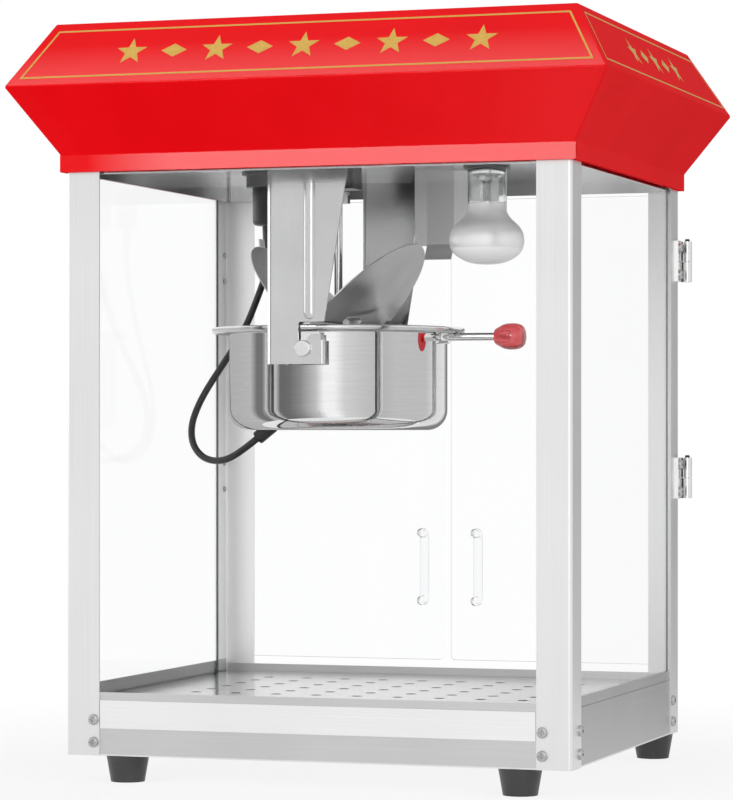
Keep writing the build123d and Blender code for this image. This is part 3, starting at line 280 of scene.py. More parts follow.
# Soft boxes: place, target, width and height in metres, and power in watts
LAMP_TARGET = (0.0, 0.0, 0.32)
LAMPS = {
    "key": ((-1.2, -2.7, 0.95), LAMP_TARGET, (1.8, 1.4), 36.0),
    "fill": ((2.4, -1.0, 0.9), LAMP_TARGET, (1.4, 1.6), 19.0),
    "over": ((-0.75, -1.45, 2.6), (-0.75, -1.45, 0.0), (2.4, 1.0), 11.0),
    "top": ((0.1, 0.6, 2.6), LAMP_TARGET, (2.4, 1.6), 10.0),
    "back": ((0.0, 2.4, 1.2), LAMP_TARGET, (2.0, 1.4), 12.0),
}

# Cards that brushed metal mirrors: first and last turn to the right of the camera's own direction in
# degrees, lowest and highest point, and glow
CARD_DISTANCE = 2.6
CARD_HEIGHT = (-0.1, 2.4)
LOW_CARD_HEIGHT = (0.36, 0.80)
CARDS = {
    "card_front": ((-12.0, 14.0), CARD_HEIGHT, 2.4),
    "card_back_right": ((112.0, 178.0), CARD_HEIGHT, 0.42),
    "card_left": ((-134.0, -76.0), LOW_CARD_HEIGHT, 2.6),
}

# The card that lies on the floor behind, between two distances from the object
FLOOR_CARD_TURNS = (100.0, 184.0)
FLOOR_CARD_REACH = (0.3, CARD_DISTANCE)
FLOOR_CARD_HEIGHT = 0.001
FLOOR_CARD_GLOW = 0.42

# How the glow of those cards comes up and goes down from side to side
CARD_FADE = ((0.0, 0.0), (0.3, 1.0), (0.7, 1.0), (1.0, 0.0))

# Corners of a card as shares of its first side and of the side after it
CARD_UV = ((0.0, 0.0), (1.0, 0.0), (1.0, 1.0), (0.0, 1.0))

# Bright cards that the paint mirrors: corners, glow, and how it comes up along the first side
GLEAMS = {
    "gleam_front": (
        ((-1.36, -2.9, 0.70), (-0.1, -2.9, 0.70), (-0.1, -2.9, 1.1), (-1.36, -2.9, 1.1)),
        13.0,
        ((0.0, 0.0), (0.12, 1.0)),
    ),
    "gleam_over": (
        ((-1.8, -0.94, 2.6), (-1.8, -1.4, 2.6), (0.2, -1.4, 2.6), (0.2, -0.94, 2.6)),
        6.5,
        ((0.0, 0.0), (0.14, 1.0)),
    ),
}

# Round wall that polished metal mirrors: its section as (distance, height), and its grey by turn from
# the camera's own direction in degrees
SHADE_RINGS = ((0.37, 0.002), (CARD_DISTANCE, 0.002), (CARD_DISTANCE, 0.66))
SHADE_STEPS = 72
SHADE = (
    (-180.0, 0.22),
    (-164.0, 0.46),
    (-104.0, 0.56),
    (-94.0, 0.20),
    (-86.0, 0.20),
    (-80.0, 0.58),
    (-68.0, 0.60),
    (-63.0, 0.16),
    (-52.0, 0.18),
    (-40.0, 0.30),
    (-24.0, 0.62),
    (-15.0, 1.08),
    (-5.0, 1.08),
    (6.0, 0.76),
    (24.0, 0.66),
    (46.0, 0.56),
    (62.0, 0.62),
    (104.0, 0.60),
    (122.0, 0.80),
    (148.0, 0.86),
    (158.0, 0.24),
    (180.0, 0.22),
)


# Shader helpers

def combine(tree, operation, first, second):
    """A value worked out from two others, each a number or the output of a node."""
    node = tree.nodes.new("ShaderNodeMath")
    node.operation = operation
    for socket, value in zip(node.inputs, (first, second)):
        if isinstance(value, (int, float)):
            socket.default_value = value
        else:
            tree.links.new(value, socket)
    return node.outputs["Value"]


def seen_rays(tree):
    """1 for what the camera sees, straight, in gloss or through glass, and 0 for other light."""
    rays = tree.nodes.new("ShaderNodeLightPath")
    seen = rays.outputs["Is Camera Ray"]
    for name in ("Is Glossy Ray", "Is Transmission Ray"):
        seen = combine(tree, "MAXIMUM", seen, rays.outputs[name])
    return seen


def mix_shaders(tree, share, first, second, output):
    """Shows the first shader where the share is 0 and the second where it is 1."""
    mix = tree.nodes.new("ShaderNodeMixShader")
    tree.links.new(share, mix.inputs["Fac"])
    tree.links.new(first, mix.inputs[1])
    tree.links.new(second, mix.inputs[2])
    tree.links.new(mix.outputs["Shader"], output.inputs["Surface"])


class Shader:
    """A material with its principled shader and short calls for the usual texture nodes."""

    def __init__(self, name):
        self.material = bpy.data.materials.new(name)
        self.material.use_nodes = True
        self.tree = self.material.node_tree
        self.bsdf = self.tree.nodes["Principled BSDF"]
        self.output = self.tree.nodes["Material Output"]
        self.place = self.tree.nodes.new("ShaderNodeTexCoord").outputs["Object"]

    def set(self, **values):
        """Sets constants on the shader's own sockets; underscores stand for spaces."""
        for name, value in values.items():
            self.bsdf.inputs[name.replace("_", " ")].default_value = value

    def link(self, socket, source):
        self.tree.links.new(source, self.bsdf.inputs[socket])

    def noise(self, scale, detail, distortion=0.0):
        """Noise whose grain is given per metre, in all directions or along x, y and z."""
        mapping = self.tree.nodes.new("ShaderNodeMapping")
        mapping.inputs["Scale"].default_value = scale if hasattr(scale, "__len__") else (scale,) * 3
        self.tree.links.new(self.place, mapping.inputs["Vector"])
        node = self.tree.nodes.new("ShaderNodeTexNoise")
        node.inputs["Scale"].default_value = 1.0
        node.inputs["Detail"].default_value = detail
        node.inputs["Roughness"].default_value = NOISE_ROUGHNESS
        node.inputs["Distortion"].default_value = distortion
        self.tree.links.new(mapping.outputs["Vector"], node.inputs["Vector"])
        return node.outputs["Fac"]

    def ramp(self, source, stops):
        """A colour ramp; each stop is (position, colour or grey)."""
        node = self.tree.nodes.new("ShaderNodeValToRGB")
        elements = node.color_ramp.elements
        while len(elements) < len(stops):
            elements.new(0.5)
        for element, (position, colour) in zip(elements, stops):
            element.position = position
            grey = not hasattr(colour, "__len__")
            element.color = (colour, colour, colour, 1.0) if grey else (*colour, 1.0)
        self.tree.links.new(source, node.inputs["Fac"])
        return node.outputs["Color"]

    def vary(self, socket, source, first, second):
        """Lets a socket drift from one colour or grey to another with a noise."""
        low, high = DRIFT
        self.link(socket, self.ramp(source, ((low, first), (high, second))))

    def combine(self, operation, first, second):
        return combine(self.tree, operation, first, second)

    def height(self):
        """The surface point's own height in metres."""
        node = self.tree.nodes.new("ShaderNodeSeparateXYZ")
        self.tree.links.new(self.place, node.inputs["Vector"])
        return node.outputs["Z"]

    def bump(self, source, distance, strength=1.0):
        """Small relief, its full depth given in metres."""
        node = self.tree.nodes.new("ShaderNodeBump")
        node.inputs["Strength"].default_value = strength
        node.inputs["Distance"].default_value = distance
        self.tree.links.new(source, node.inputs["Height"])
        self.link("Normal", node.outputs["Normal"])

    def clear_to_shadow(self, tint):
        """Lets light pass straight through glass, so that what stands behind it is lit."""
        rays = self.tree.nodes.new("ShaderNodeLightPath").outputs
        clear = self.tree.nodes.new("ShaderNodeBsdfTransparent")
        clear.inputs["Color"].default_value = (*tint, 1.0)
        passing = self.combine("MAXIMUM", rays["Is Shadow Ray"], rays["Is Diffuse Ray"])
        mirrored = self.combine("SUBTRACT", rays["Is Glossy Ray"], rays["Is Transmission Ray"])
        passing = self.combine("MAXIMUM", passing, mirrored)
        mix_shaders(self.tree, passing, self.bsdf.outputs["BSDF"], clear.outputs["BSDF"], self.output)


# Materials

def steel(name, greys, rough, grain, relief, metallic=1.0):
    """Bare steel, whose grey drifts along fine grain lines and in a broad cloud.

    Its gloss drifts alike, unless it is polished to one roughness all over.
    """
    shader = Shader(name)
    shader.set(Metallic=metallic)
    lines = shader.noise(grain, detail=3.0)
    cloud = shader.noise(STEEL_CLOUD, detail=2.0)
    fine = shader.combine("MULTIPLY", lines, GRAIN_SHARE)
    broad = shader.combine("MULTIPLY", cloud, 1.0 - GRAIN_SHARE)
    drift = shader.combine("ADD", fine, broad)
    shader.vary("Base Color", drift, *greys)
    if isinstance(rough, float):
        shader.set(Roughness=rough)
    else:
        shader.vary("Roughness", drift, *rough)
    shader.bump(lines, relief)
    return shader.material


def moulded(name, dark, light, rough, grain, relief):
    """Moulded plastic or rubber: small colour drift and a fine pebble in the surface."""
    shader = Shader(name)
    cloud = shader.noise(35.0, detail=3.0)
    pebble = shader.noise(grain, detail=3.0)
    shader.vary("Base Color", cloud, dark, light)
    shader.vary("Roughness", pebble, *rough)
    shader.bump(pebble, relief)
    return shader.material


def clear_sheet(name, cloudy, clear, refraction):
    """Clear glass or acrylic with a faint cloud in its tint."""
    shader = Shader(name)
    shader.set(Transmission_Weight=1.0, IOR=refraction, Roughness=0.0)
    cloud = shader.noise((30.0, 30.0, 12.0), detail=3.0)
    shader.vary("Base Color", cloud, cloudy, clear)
    shader.clear_to_shadow(clear)
    return shader.material


def enamel_red():
    """Gloss paint on sheet steel, with the slight orange peel of sprayed enamel."""
    shader = Shader("red_enamel")
    shader.set(Roughness=0.4, Specular_IOR_Level=0.0, Coat_Roughness=0.0, Coat_IOR=1.5)
    cloud = shader.noise(14.0, detail=2.0)
    peel = shader.noise(420.0, detail=2.0)
    shader.vary("Base Color", cloud, (0.76, 0.001, 0.004), (0.80, 0.002, 0.006))
    facing = shader.tree.nodes.new("ShaderNodeLayerWeight").outputs["Facing"]
    shader.link("Coat Weight", shader.ramp(facing, ((0.2, 0.32), (0.8, 0.05))))
    shader.bump(peel, 0.00004, strength=0.5)
    return shader.material


def gold_print():
    """Screen-printed gold ink, faintly uneven."""
    shader = Shader("gold_print")
    shader.set(Metallic=0.15)
    mottle = shader.noise(500.0, detail=3.0)
    speckle = shader.noise(700.0, detail=2.0)
    shader.vary("Base Color", mottle, (0.56, 0.33, 0.055), (0.66, 0.41, 0.085))
    shader.vary("Roughness", speckle, 0.36, 0.48)
    return shader.material


def glass_edge():
    """The deep green of sheet glass seen along its cut edge."""
    shader = Shader("glass_edge")
    shader.set(Specular_IOR_Level=0.5)
    streaks = shader.noise((400.0, 400.0, 14.0), detail=3.0)
    chips = shader.noise(300.0, detail=2.0)
    shader.vary("Base Color", streaks, (0.016, 0.035, 0.029), (0.06, 0.10, 0.085))
    shader.vary("Roughness", chips, 0.12, 0.25)
    return shader.material


def bulb_glass():
    """Reflector bulb: white frost on its face, silvered sides, and a clear neck above a line."""
    low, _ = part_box("bulb")
    tall = BULB_OUTLINE[-1][1]
    shader = Shader("frosted_glass")
    shader.set(IOR=1.45)
    rise = shader.combine("SUBTRACT", shader.height(), low[2])
    climb = shader.combine("DIVIDE", rise, tall * MM)
    seam = FACE_LINE / tall
    under, over = seam - FACE_BLUR, seam + FACE_BLUR
    end = FROST_LINE / tall
    below, above = end - FROST_BLUR, end + FROST_BLUR
    white, groove = 0.90, 0.74
    silver, clear = (0.80, 0.80, 0.81), (0.96, 0.97, 0.97)
    colours = ((under, white), (seam, groove), (over, silver), (below, silver), (above, clear))
    shader.link("Base Color", shader.ramp(climb, colours))
    metal = ((under, 0.0), (over, 0.42), (below, 0.42), (above, 0.0))
    shader.link("Metallic", shader.ramp(climb, metal))
    rough = ((under, 0.22), (over, 0.42), (below, 0.42), (above, 0.0))
    shader.link("Roughness", shader.ramp(climb, rough))
    shader.link("Transmission Weight", shader.ramp(climb, ((below, 0.0), (above, 1.0))))
    frost = shader.noise(900.0, detail=2.0)
    shader.bump(frost, 0.00003, strength=0.4)
    return shader.material


def stem_glass():
    """The pressed glass stem inside the bulb, with a few seeds and streaks."""
    shader = Shader("stem_glass")
    shader.set(Transmission_Weight=0.8, IOR=1.5)
    streaks = shader.noise((900.0, 900.0, 120.0), detail=2.0)
    seeds = shader.noise(400.0, detail=2.0)
    shader.vary("Base Color", streaks, 0.86, 0.96)
    shader.vary("Roughness", seeds, 0.04, 0.14)
    return shader.material


def clear_red():
    """Moulded knob: see-through red plastic with a soft flow pattern."""
    shader = Shader("red_plastic")
    shader.set(Transmission_Weight=0.86, IOR=1.45, Coat_Weight=0.7, Coat_Roughness=0.0)
    flow = shader.noise(90.0, detail=3.0, distortion=0.6)
    haze = shader.noise(160.0, detail=2.0)
    shader.vary("Base Color", flow, (0.62, 0.06, 0.07), (0.74, 0.12, 0.13))
    shader.vary("Roughness", haze, 0.04, 0.12)
    shader.clear_to_shadow((0.92, 0.30, 0.32))
    return shader.material


def motor_paint():
    """Grey hammered paint on the gear motor."""
    shader = Shader("motor_paint")
    shader.set(Roughness=0.42)
    cloud = shader.noise(60.0, detail=3.0)
    hammer = shader.noise(260.0, detail=2.0)
    shader.vary("Base Color", cloud, (0.16, 0.17, 0.18), (0.22, 0.23, 0.24))
    shader.bump(hammer, 0.0002)
    return shader.material


def make_finishes():
    """Every finish by its name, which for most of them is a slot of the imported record."""
    made = {}
    for maker, looks in ((steel, STEELS), (moulded, MOULDED), (clear_sheet, CLEAR_SHEETS)):
        for name, look in looks.items():
            made[name] = maker(name, *look)
    made["red_enamel"] = enamel_red()
    made["gold_print"] = gold_print()
    made["glass_edge"] = glass_edge()
    made["frosted_glass"] = bulb_glass()
    made["stem_glass"] = stem_glass()
    made["red_plastic"] = clear_red()
    made["motor_paint"] = motor_paint()
    return made


def dress_nodes(finishes):
    """Gives each node of the model its own finish, or the one that the record names for it."""
    for subpart in frame["record"]["subparts"]:
        name = subpart["node"]
        node = frame["nodes"][name]
        if not node.material_slots:
            node.data.materials.append(None)
        finish = OWN_FINISH.get(name, subpart["material_slot"])
        for place in node.material_slots:
            place.material = finishes[finish]


# Pieces

def add_piece(name, mesh, material, body):
    """A new object in the model's frame, which rides on a body if one is named."""
    piece = bpy.data.objects.new(name, mesh)
    bpy.context.collection.objects.link(piece)
    mesh.materials.append(material)
    if body:
        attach(piece, body)
    return piece


def mesh_piece(name, verts, faces, material, body):
    """A new piece from its points and faces."""
    mesh = bpy.data.meshes.new(name)
    mesh.from_pydata(verts, [], faces)
    mesh.update()
    return add_piece(name, mesh, material, body)


def box_middle(low, high):
    """The middle of a box between its lowest and highest corners."""
    return [(least + most) / 2 for least, most in zip(low, high)]


def shade_smooth(piece):
    for face in piece.data.polygons:
        face.use_smooth = True


def shade_tube(piece):
    """Smooth sides between flat ends."""
    for face in piece.data.polygons:
        face.use_smooth = len(face.vertices) == 4


def smooth_route(points):
    """Points in metres of a smooth line whose control points are given in millimetres."""
    curve = bpy.data.curves.new("smooth_line", "CURVE")
    curve.dimensions = "3D"
    spline = curve.splines.new("NURBS")
    spline.points.add(len(points) - 1)
    for point, place in zip(spline.points, points):
        point.co = (*[value * MM for value in place], 1.0)
    spline.order_u = 3
    spline.use_endpoint_u = True
    spline.resolution_u = LINE_STEPS
    line = bpy.data.objects.new("smooth_line", curve)
    bpy.context.collection.objects.link(line)
    traced = bpy.data.meshes.new_from_object(line)
    route = [vertex.co.copy() for vertex in traced.vertices]
    bpy.data.objects.remove(line)
    bpy.data.meshes.remove(traced)
    return route


def tube(route, radius, sides):
    """Rings of points round a route, closed at both ends, that turn as little as they can."""
    verts, faces = [], []
    side = None
    for index, point in enumerate(route):
        ahead = route[min(index + 1, len(route) - 1)] - route[max(index - 1, 0)]
        ahead.normalize()
        if side is None:
            side = ahead.orthogonal().normalized()
        side = (side - ahead * side.dot(ahead)).normalized()
        other = ahead.cross(side)
        for step in range(sides):
            turn = 2 * math.pi * step / sides
            verts.append(point + radius * (side * math.cos(turn) + other * math.sin(turn)))
    for ring in range(len(route) - 1):
        for step in range(sides):
            corner = ring * sides + step
            beside = ring * sides + (step + 1) % sides
            faces.append((corner, beside, beside + sides, corner + sides))
    faces.append(tuple(reversed(range(sides))))
    faces.append(tuple(range(len(verts) - sides, len(verts))))
    return verts, faces


def turned(outline, middle, base, sides):
    """Points and faces of an outline of (radius, height) turned about an upright axis."""
    verts, faces, rings = [], [], []
    for radius, height in outline:
        count = sides if radius > ON_AXIS else 1
        rings.append([len(verts) + step for step in range(count)])
        for step in range(count):
            turn = 2 * math.pi * step / sides
            x = middle[0] + radius * math.cos(turn)
            y = middle[1] + radius * math.sin(turn)
            verts.append((x, y, base + height))
    for lower, upper in zip(rings, rings[1:]):
        for step in range(sides):
            follow = (step + 1) % sides
            face = [lower[step % len(lower)], lower[follow % len(lower)]]
            face += [upper[follow % len(upper)], upper[step % len(upper)]]
            faces.append(tuple(dict.fromkeys(face)))
    return verts, faces


def make_cord(material):
    """The kettle's lead, from the cabinet's plug to the tilting kettle.

    It is laid out straight along its length first, and then put on its route, so that each ring of it turns
    as one and the lead stays round.
    """
    route = smooth_route(CORD_ROUTE)
    runs = [0.0]
    for point, follow in zip(route, route[1:]):
        runs.append(runs[-1] + (follow - point).length)
    verts, faces = tube(route, CORD_RADIUS, CORD_SIDES)
    straight = [(0.0, 0.0, run) for run in runs for _ in range(CORD_SIDES)]
    cord = mesh_piece("kettle_lead", straight, faces, material, None)
    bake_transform(cord)
    for vertex, place in zip(cord.data.vertices, verts):
        vertex.co = place
    cord.data.update()
    shade_tube(cord)
    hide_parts("kettle_cord")


def make_bulb(glass, stem, lead):
    """A reflector bulb: a thin glass envelope over its pressed stem and two lead wires."""
    low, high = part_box("bulb")
    middle = box_middle(low, high)
    base = low[2]
    line = smooth_route([(radius, 0.0, height) for radius, height in BULB_OUTLINE])
    outer = [(point.x, point.z) for point in line]
    wall = BULB_WALL * MM
    inner = [(max(radius - wall, 0.0), max(height, wall)) for radius, height in reversed(outer)]
    verts, faces = turned(outer + inner, middle, base, BULB_SIDES)
    envelope = mesh_piece("bulb_envelope", verts, faces, glass, "cabinet")
    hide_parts("bulb")
    shade_smooth(envelope)
    outline = [(radius * MM, height * MM) for radius, height in STEM_OUTLINE]
    verts, faces = turned(outline, middle, base, STEM_SIDES)
    shade_smooth(mesh_piece("bulb_stem", verts, faces, stem, "cabinet"))
    for name, side in (("bulb_lead_left", -1), ("bulb_lead_right", 1)):
        route = [
            Vector((middle[0] + side * spread * MM, middle[1], base + height * MM))
            for spread, height in LEAD_ENDS
        ]
        verts, faces = tube(route, LEAD_RADIUS * MM, LEAD_SIDES)
        mesh_piece(name, verts, faces, lead, "cabinet")


def make_rim_bead(material):
    """The rolled bead that stiffens the kettle's rim from below."""
    low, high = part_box("kettle_shell")
    reach = (high[1] - low[1]) / 2 - BEAD_RADIUS
    outline = []
    for step in range(BEAD_SIDES + 1):
        turn = 2 * math.pi * step / BEAD_SIDES
        outline.append((reach + BEAD_RADIUS * math.cos(turn), BEAD_RADIUS * math.sin(turn)))
    verts, faces = turned(outline, box_middle(low, high), high[2] - BEAD_RADIUS, RIM_SIDES)
    bead = mesh_piece("kettle_rim_bead", verts, faces, material, "kettle")
    shade_smooth(bead)


def make_knob(material):
    """A see-through knob, bored for the end of its rod, turned about the rod."""
    low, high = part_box("handle_knob")
    middle = box_middle(low, high)
    line = smooth_route([(along, 0.0, radius) for along, radius in KNOB_OUTLINE])
    bore, depth = KNOB_BORE * MM, KNOB_BORE_DEPTH * MM
    outline = [(0.0, depth), (bore, depth), (bore, 0.0)]
    outline += [(point.z, point.x) for point in line]
    verts, faces = turned(outline, (0.0, 0.0), 0.0, KNOB_SIDES)
    verts = [(low[0] + along, middle[1] + across, middle[2] + rise) for across, rise, along in verts]
    knob = mesh_piece("knob_shell", verts, faces, material, "kettle")
    shade_smooth(knob)
    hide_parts("handle_knob")


def bevelled_plan(half_x, half_y, bevel):
    """Corners of a rectangle about its middle, with a bevel at each of them."""
    return [
        (-half_x + bevel, -half_y),
        (half_x - bevel, -half_y),
        (half_x, -half_y + bevel),
        (half_x, half_y - bevel),
        (half_x - bevel, half_y),
        (-half_x + bevel, half_y),
        (-half_x, half_y - bevel),
        (-half_x, -half_y + bevel),
    ]


def make_pane_edges(material):
    """The dark cut edge at the rear of each side pane, as a slim bevelled strip inside the glass."""
    for side in ("left", "right"):
        low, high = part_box(f"{side}_glass")
        middle = ((low[0] + high[0]) / 2, high[1] - EDGE_INSET - EDGE_WIDTH / 2)
        half = (high[0] - low[0]) / 2 - EDGE_INSET
        plan = bevelled_plan(half, EDGE_WIDTH / 2, half / EDGE_BEVEL_PARTS)
        count = len(plan)
        verts = []
        for height in (low[2] + EDGE_INSET, high[2] - EDGE_INSET):
            verts += [(middle[0] + x, middle[1] + y, height) for x, y in plan]
        faces = [tuple(reversed(range(count))), tuple(range(count, 2 * count))]
        for index in range(count):
            follow = (index + 1) % count
            faces.append((index, follow, follow + count, index + count))
        edge = mesh_piece(f"{side}_pane_edge", verts, faces, material, "cabinet")


def make_pulls(material):
    """A bowed round bar on the back of each door, a hair off the panel so that light passes both."""
    for side in ("left", "right"):
        low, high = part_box(f"{side}_door_pull")
        middle, _, height = [value / MM for value in box_middle(low, high)]
        foot, far = low[1] / MM + PULL_GAP, high[1] / MM - PULL_RADIUS
        reach = (high[2] - low[2]) / 2 / MM - PULL_RADIUS
        half = [(foot, reach), ((foot + far) / 2, reach), (far, reach), (far, reach / 2), (far, 0.0)]
        line = [(middle, y, height - rise) for y, rise in half]
        line += [(middle, y, height + rise) for y, rise in reversed(half[:-1])]
        verts, faces = tube(smooth_route(line), PULL_RADIUS * MM, PULL_SIDES)
        pull = mesh_piece(f"{side}_pull_bar", verts, faces, material, f"{side}_door")
        shade_tube(pull)
        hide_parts(f"{side}_door_pull")


# Printed trim

class Slope:
    """One upper slope of the canopy, from the waist up to the crown.

    It is given by the way out that it faces, how far out its foot is, half the foot's width and its rise.
    """

    def __init__(self, out, edge, reach, rise):
        self.along = Vector((-out[1], out[0], 0.0))
        self.foot = Vector(out) * edge + Vector((0.0, 0.0, WAIST_HEIGHT))
        self.climb = Vector((-out[0] * CROWN_INSET, -out[1] * CROWN_INSET, rise)).normalized()
        self.normal = self.along.cross(self.climb)
        self.length = math.hypot(CROWN_INSET, rise)
        self.reach = reach

    def half_run(self, climb):
        """Half the slope's width at a climb."""
        return self.reach - CROWN_INSET * climb / self.length

    def point(self, run, climb, lift):
        """A place from its run along the edge, its climb and its lift off the slope."""
        return self.foot + self.along * run + self.climb * climb + self.normal * lift


def film_corners(builder, slope, outline):
    """The lower and the upper corners of a printed shape, from its outline as (run, climb) pairs."""
    return [
        [builder.verts.new(slope.point(run, climb, lift)) for run, climb in outline]
        for lift in (TRIM_LIFT, TRIM_LIFT + TRIM_FILM)
    ]


def film_line(builder, slope, outer, inner):
    """A closed printed line on a slope, between two outlines with as many corners."""
    loops = film_corners(builder, slope, outer)
    loops += reversed(film_corners(builder, slope, inner))
    for index in range(len(outer)):
        follow = (index + 1) % len(outer)
        for loop, beside in zip(loops, loops[1:] + loops[:1]):
            builder.faces.new((loop[index], loop[follow], beside[follow], beside[index]))


def film(builder, slope, outline):
    """A flat printed shape on a slope, from its outline as (run, climb) pairs."""
    low, high = film_corners(builder, slope, outline)
    builder.faces.new(high)
    builder.faces.new(list(reversed(low)))
    for index in range(len(outline)):
        follow = (index + 1) % len(outline)
        builder.faces.new((low[index], low[follow], high[follow], high[index]))


def frame_corners(slope, inset):
    """Corners of a line that runs inside a slope's edges by an inset."""
    lean = math.hypot(1.0, CROWN_INSET / slope.length)
    low, high = inset, slope.length - inset
    ends = [slope.half_run(climb) - inset * lean for climb in (low, high)]
    return [(-ends[0], low), (ends[0], low), (ends[1], high), (-ends[1], high)]


def star_outline(run, climb):
    """A star standing on two of its points."""
    corners = []
    for step in range(2 * STAR_POINTS):
        size = STAR_RADIUS if step % 2 == 0 else STAR_RADIUS * STAR_WAIST
        turn = math.pi / 2 + step * math.pi / STAR_POINTS
        corners.append((run + size * math.cos(turn), climb + size * math.sin(turn)))
    return corners


def lozenge_outline(run, climb):
    """A lozenge lying along the slope."""
    return [
        (run - LOZENGE_LONG, climb),
        (run, climb - LOZENGE_HIGH),
        (run + LOZENGE_LONG, climb),
        (run, climb + LOZENGE_HIGH),
    ]


def make_trim(material):
    """A plain printed border on three slopes, with a row of stars and lozenges inside it."""
    half_x, half_y = WAIST_HALF
    rise = cad_high[2] - WAIST_HEIGHT
    slopes = {
        "front": (Slope((0.0, -1.0, 0.0), half_y, half_x, rise), FRONT_STARS),
        "right": (Slope((1.0, 0.0, 0.0), half_x, half_y, rise), SIDE_STARS),
        "left": (Slope((-1.0, 0.0, 0.0), half_x, half_y, rise), SIDE_STARS),
    }
    for side, (slope, stars) in slopes.items():
        name = f"canopy_trim_{side}"
        builder = bmesh.new()
        outer = frame_corners(slope, TRIM_EDGE)
        inner = frame_corners(slope, TRIM_EDGE + TRIM_LINE)
        film_line(builder, slope, outer, inner)
        middle = slope.length / 2
        for step in range(-stars, stars + 1):
            film(builder, slope, star_outline(step * STAR_PITCH, middle))
        for step in range(-stars, stars):
            film(builder, slope, lozenge_outline((step + 0.5) * STAR_PITCH, middle))
        mesh = bpy.data.meshes.new(name)
        builder.to_mesh(mesh)
        builder.free()
        add_piece(name, mesh, material, "cabinet")


# Studio

def make_camera():
    """The photograph's camera."""
    data = bpy.data.cameras.new("camera")
    data.lens = CAMERA_LENS
    data.sensor_width = CAMERA_SENSOR
    data.shift_y = CAMERA_SHIFT_UP
    camera = bpy.data.objects.new("camera", data)
    camera.location = CAMERA_PLACE
    camera.rotation_euler = (math.pi / 2, 0.0, CAMERA_TURN)
    bpy.context.collection.objects.link(camera)
    bpy.context.scene.camera = camera


def make_world():
    """A white room for the camera, metal and glass, and softer light for everything else."""
    world = bpy.data.worlds.new("studio")
    bpy.context.scene.world = world
    world.use_nodes = True
    tree = world.node_tree
    tree.nodes.clear()
    soft = tree.nodes.new("ShaderNodeBackground")
    soft.inputs["Strength"].default_value = ROOM_LIGHT
    bright = tree.nodes.new("ShaderNodeBackground")
    bright.inputs["Color"].default_value = (1.0, 1.0, 1.0, 1.0)
    output = tree.nodes.new("ShaderNodeOutputWorld")
    mix_shaders(tree, seen_rays(tree), soft.outputs["Background"], bright.outputs["Background"], output)


def stage_piece(name, mesh):
    """A piece of the studio, which isn't part of the object."""
    stand = bpy.data.objects.new(name, mesh)
    bpy.context.collection.objects.link(stand)
    return stand


def make_floor():
    """A round white floor that holds the object's shadow and fades into the white behind it."""
    builder = bmesh.new()
    bmesh.ops.create_circle(builder, cap_ends=True, segments=FLOOR_SIDES, radius=FLOOR_RADIUS)
    mesh = bpy.data.meshes.new("floor")
    builder.to_mesh(mesh)
    builder.free()
    stage_piece("floor", mesh)
    shader = Shader("floor_white")
    shader.set(Roughness=0.9, Specular_IOR_Level=0.0)
    shader.vary("Base Color", shader.noise(3.0, detail=2.0), 0.84, 0.86)
    distance = shader.tree.nodes.new("ShaderNodeVectorMath")
    distance.operation = "LENGTH"
    shader.tree.links.new(shader.place, distance.inputs[0])
    fade = shader.ramp(shader.combine("DIVIDE", distance.outputs["Value"], FLOOR_REACH), FLOOR_FADE)
    glow = shader.tree.nodes.new("ShaderNodeEmission").outputs["Emission"]
    share = shader.combine("MULTIPLY", fade, seen_rays(shader.tree))
    mix_shaders(shader.tree, share, shader.bsdf.outputs["BSDF"], glow, shader.output)
    mesh.materials.append(shader.material)


def gloss_only(name, mesh):
    """A piece of the studio that shows in gloss alone."""
    stand = stage_piece(name, mesh)
    for ray in ("camera", "diffuse", "transmission", "shadow", "volume_scatter"):
        setattr(stand, f"visible_{ray}", False)


def glow_where(shader, shown, light):
    """A light where shown is 1, and clear where it is 0."""
    clear = shader.tree.nodes.new("ShaderNodeBsdfTransparent")
    mix_shaders(shader.tree, shown, clear.outputs["BSDF"], light.outputs["Emission"], shader.output)


def across_card(shader):
    """How far across a card a point is, from 0 to 1."""
    across = shader.tree.nodes.new("ShaderNodeSeparateXYZ")
    shader.tree.links.new(shader.tree.nodes.new("ShaderNodeUVMap").outputs["UV"], across.inputs["Vector"])
    return across.outputs["X"]


def mirror_rays(shader):
    """1 for rays in mirror gloss, and 0 for rays in brushed gloss."""
    return shader.tree.nodes.new("ShaderNodeLightPath").outputs["Is Singular Ray"]


def make_card(name, corners, glow, fade, mirror):
    """A studio card that shows in gloss alone: in mirror gloss, or else in brushed gloss.

    Its light comes up along its first side by the stops of fade.
    """
    mesh = bpy.data.meshes.new(name)
    mesh.from_pydata(corners, [], [(0, 1, 2, 3)])
    layer = mesh.uv_layers.new(name="card")
    for loop, place in zip(layer.data, CARD_UV):
        loop.uv = place
    gloss_only(name, mesh)
    shader = Shader(name)
    rays = mirror_rays(shader) if mirror else shader.combine("SUBTRACT", 1.0, mirror_rays(shader))
    light = shader.tree.nodes.new("ShaderNodeEmission")
    light.inputs["Strength"].default_value = glow
    glow_where(shader, shader.combine("MULTIPLY", shader.ramp(across_card(shader), fade), rays), light)
    mesh.materials.append(shader.material)


def around(turn, distance, height):
    """A place at a turn to the right of the camera's own direction."""
    heading = math.radians(turn) + CAMERA_TURN
    return (distance * math.sin(heading), -distance * math.cos(heading), height)


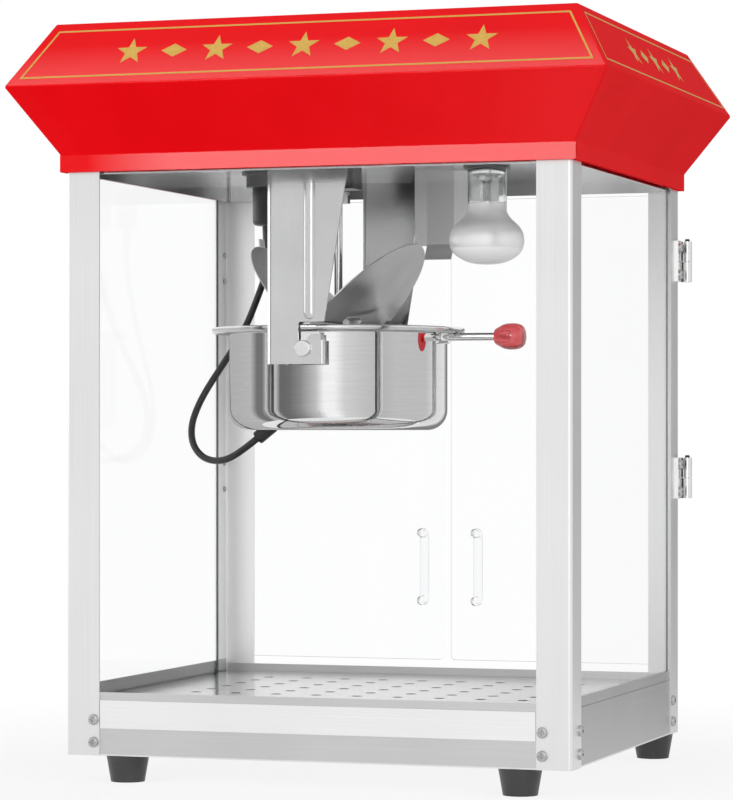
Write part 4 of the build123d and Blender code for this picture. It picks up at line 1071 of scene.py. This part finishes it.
def make_cards():
    """Cards round the object for its brushed metal, and two bright ones for its paint."""
    for name, ((first, last), (low, high), glow) in CARDS.items():
        places = ((first, low), (last, low), (last, high), (first, high))
        corners = [around(turn, CARD_DISTANCE, height) for turn, height in places]
        make_card(name, corners, glow, CARD_FADE, mirror=False)
    first, last = FLOOR_CARD_TURNS
    near, far = FLOOR_CARD_REACH
    places = ((first, near), (last, near), (last, far), (first, far))
    corners = [around(turn, distance, FLOOR_CARD_HEIGHT) for turn, distance in places]
    make_card("card_floor", corners, FLOOR_CARD_GLOW, CARD_FADE, mirror=False)
    for name, (corners, glow, fade) in GLEAMS.items():
        make_card(name, corners, glow, fade, mirror=True)


def make_shade():
    """A round wall that polished metal mirrors, grey by its turn from the camera's own direction."""
    verts, faces = [], []
    rings = len(SHADE_RINGS)
    for step in range(SHADE_STEPS + 1):
        turn = 360.0 * step / SHADE_STEPS - 180.0
        verts += [around(turn, distance, height) for distance, height in SHADE_RINGS]
    for step in range(SHADE_STEPS):
        for ring in range(rings - 1):
            corner = step * rings + ring
            faces.append((corner, corner + rings, corner + rings + 1, corner + 1))
    mesh = bpy.data.meshes.new("shade_wall")
    mesh.from_pydata(verts, [], faces)
    layer = mesh.uv_layers.new(name="card")
    for loop, place in zip(mesh.loops, layer.data):
        step, ring = divmod(loop.vertex_index, rings)
        place.uv = (step / SHADE_STEPS, ring / (rings - 1))
    gloss_only("shade_wall", mesh)
    shader = Shader("shade_wall")
    light = shader.tree.nodes.new("ShaderNodeEmission")
    greys = shader.ramp(across_card(shader), [((turn + 180.0) / 360.0, grey) for turn, grey in SHADE])
    shader.tree.links.new(greys, light.inputs["Color"])
    glow_where(shader, mirror_rays(shader), light)
    mesh.materials.append(shader.material)


def make_lamps():
    """Soft boxes; gloss shows the white room and its cards instead."""
    for name, (place, target, (width, height), power) in LAMPS.items():
        data = bpy.data.lights.new(name, "AREA")
        data.shape = "RECTANGLE"
        data.size = width
        data.size_y = height
        data.energy = power
        lamp = bpy.data.objects.new(name, data)
        lamp.location = place
        lamp.visible_glossy = False
        lamp.visible_camera = False
        lamp.visible_transmission = False
        lamp.rotation_euler = (Vector(target) - Vector(place)).to_track_quat("-Z", "Y").to_euler()
        bpy.context.collection.objects.link(lamp)


make_camera()
finishes = make_finishes()
dress_nodes(finishes)
make_cord(finishes["cord_rubber"])
make_bulb(finishes["frosted_glass"], finishes["stem_glass"], finishes["plated_steel"])
# The rim bead's steel is darker than the kettle's: painted shade under the lip
make_rim_bead(finishes["painted_shade_rim_steel"])
make_knob(finishes["red_plastic"])
make_pane_edges(finishes["glass_edge"])
make_pulls(finishes["pull_acrylic"])
make_trim(finishes["gold_print"])
make_world()
make_floor()
make_lamps()
make_cards()
make_shade()
bpy.context.scene.view_settings.view_transform = "Standard"
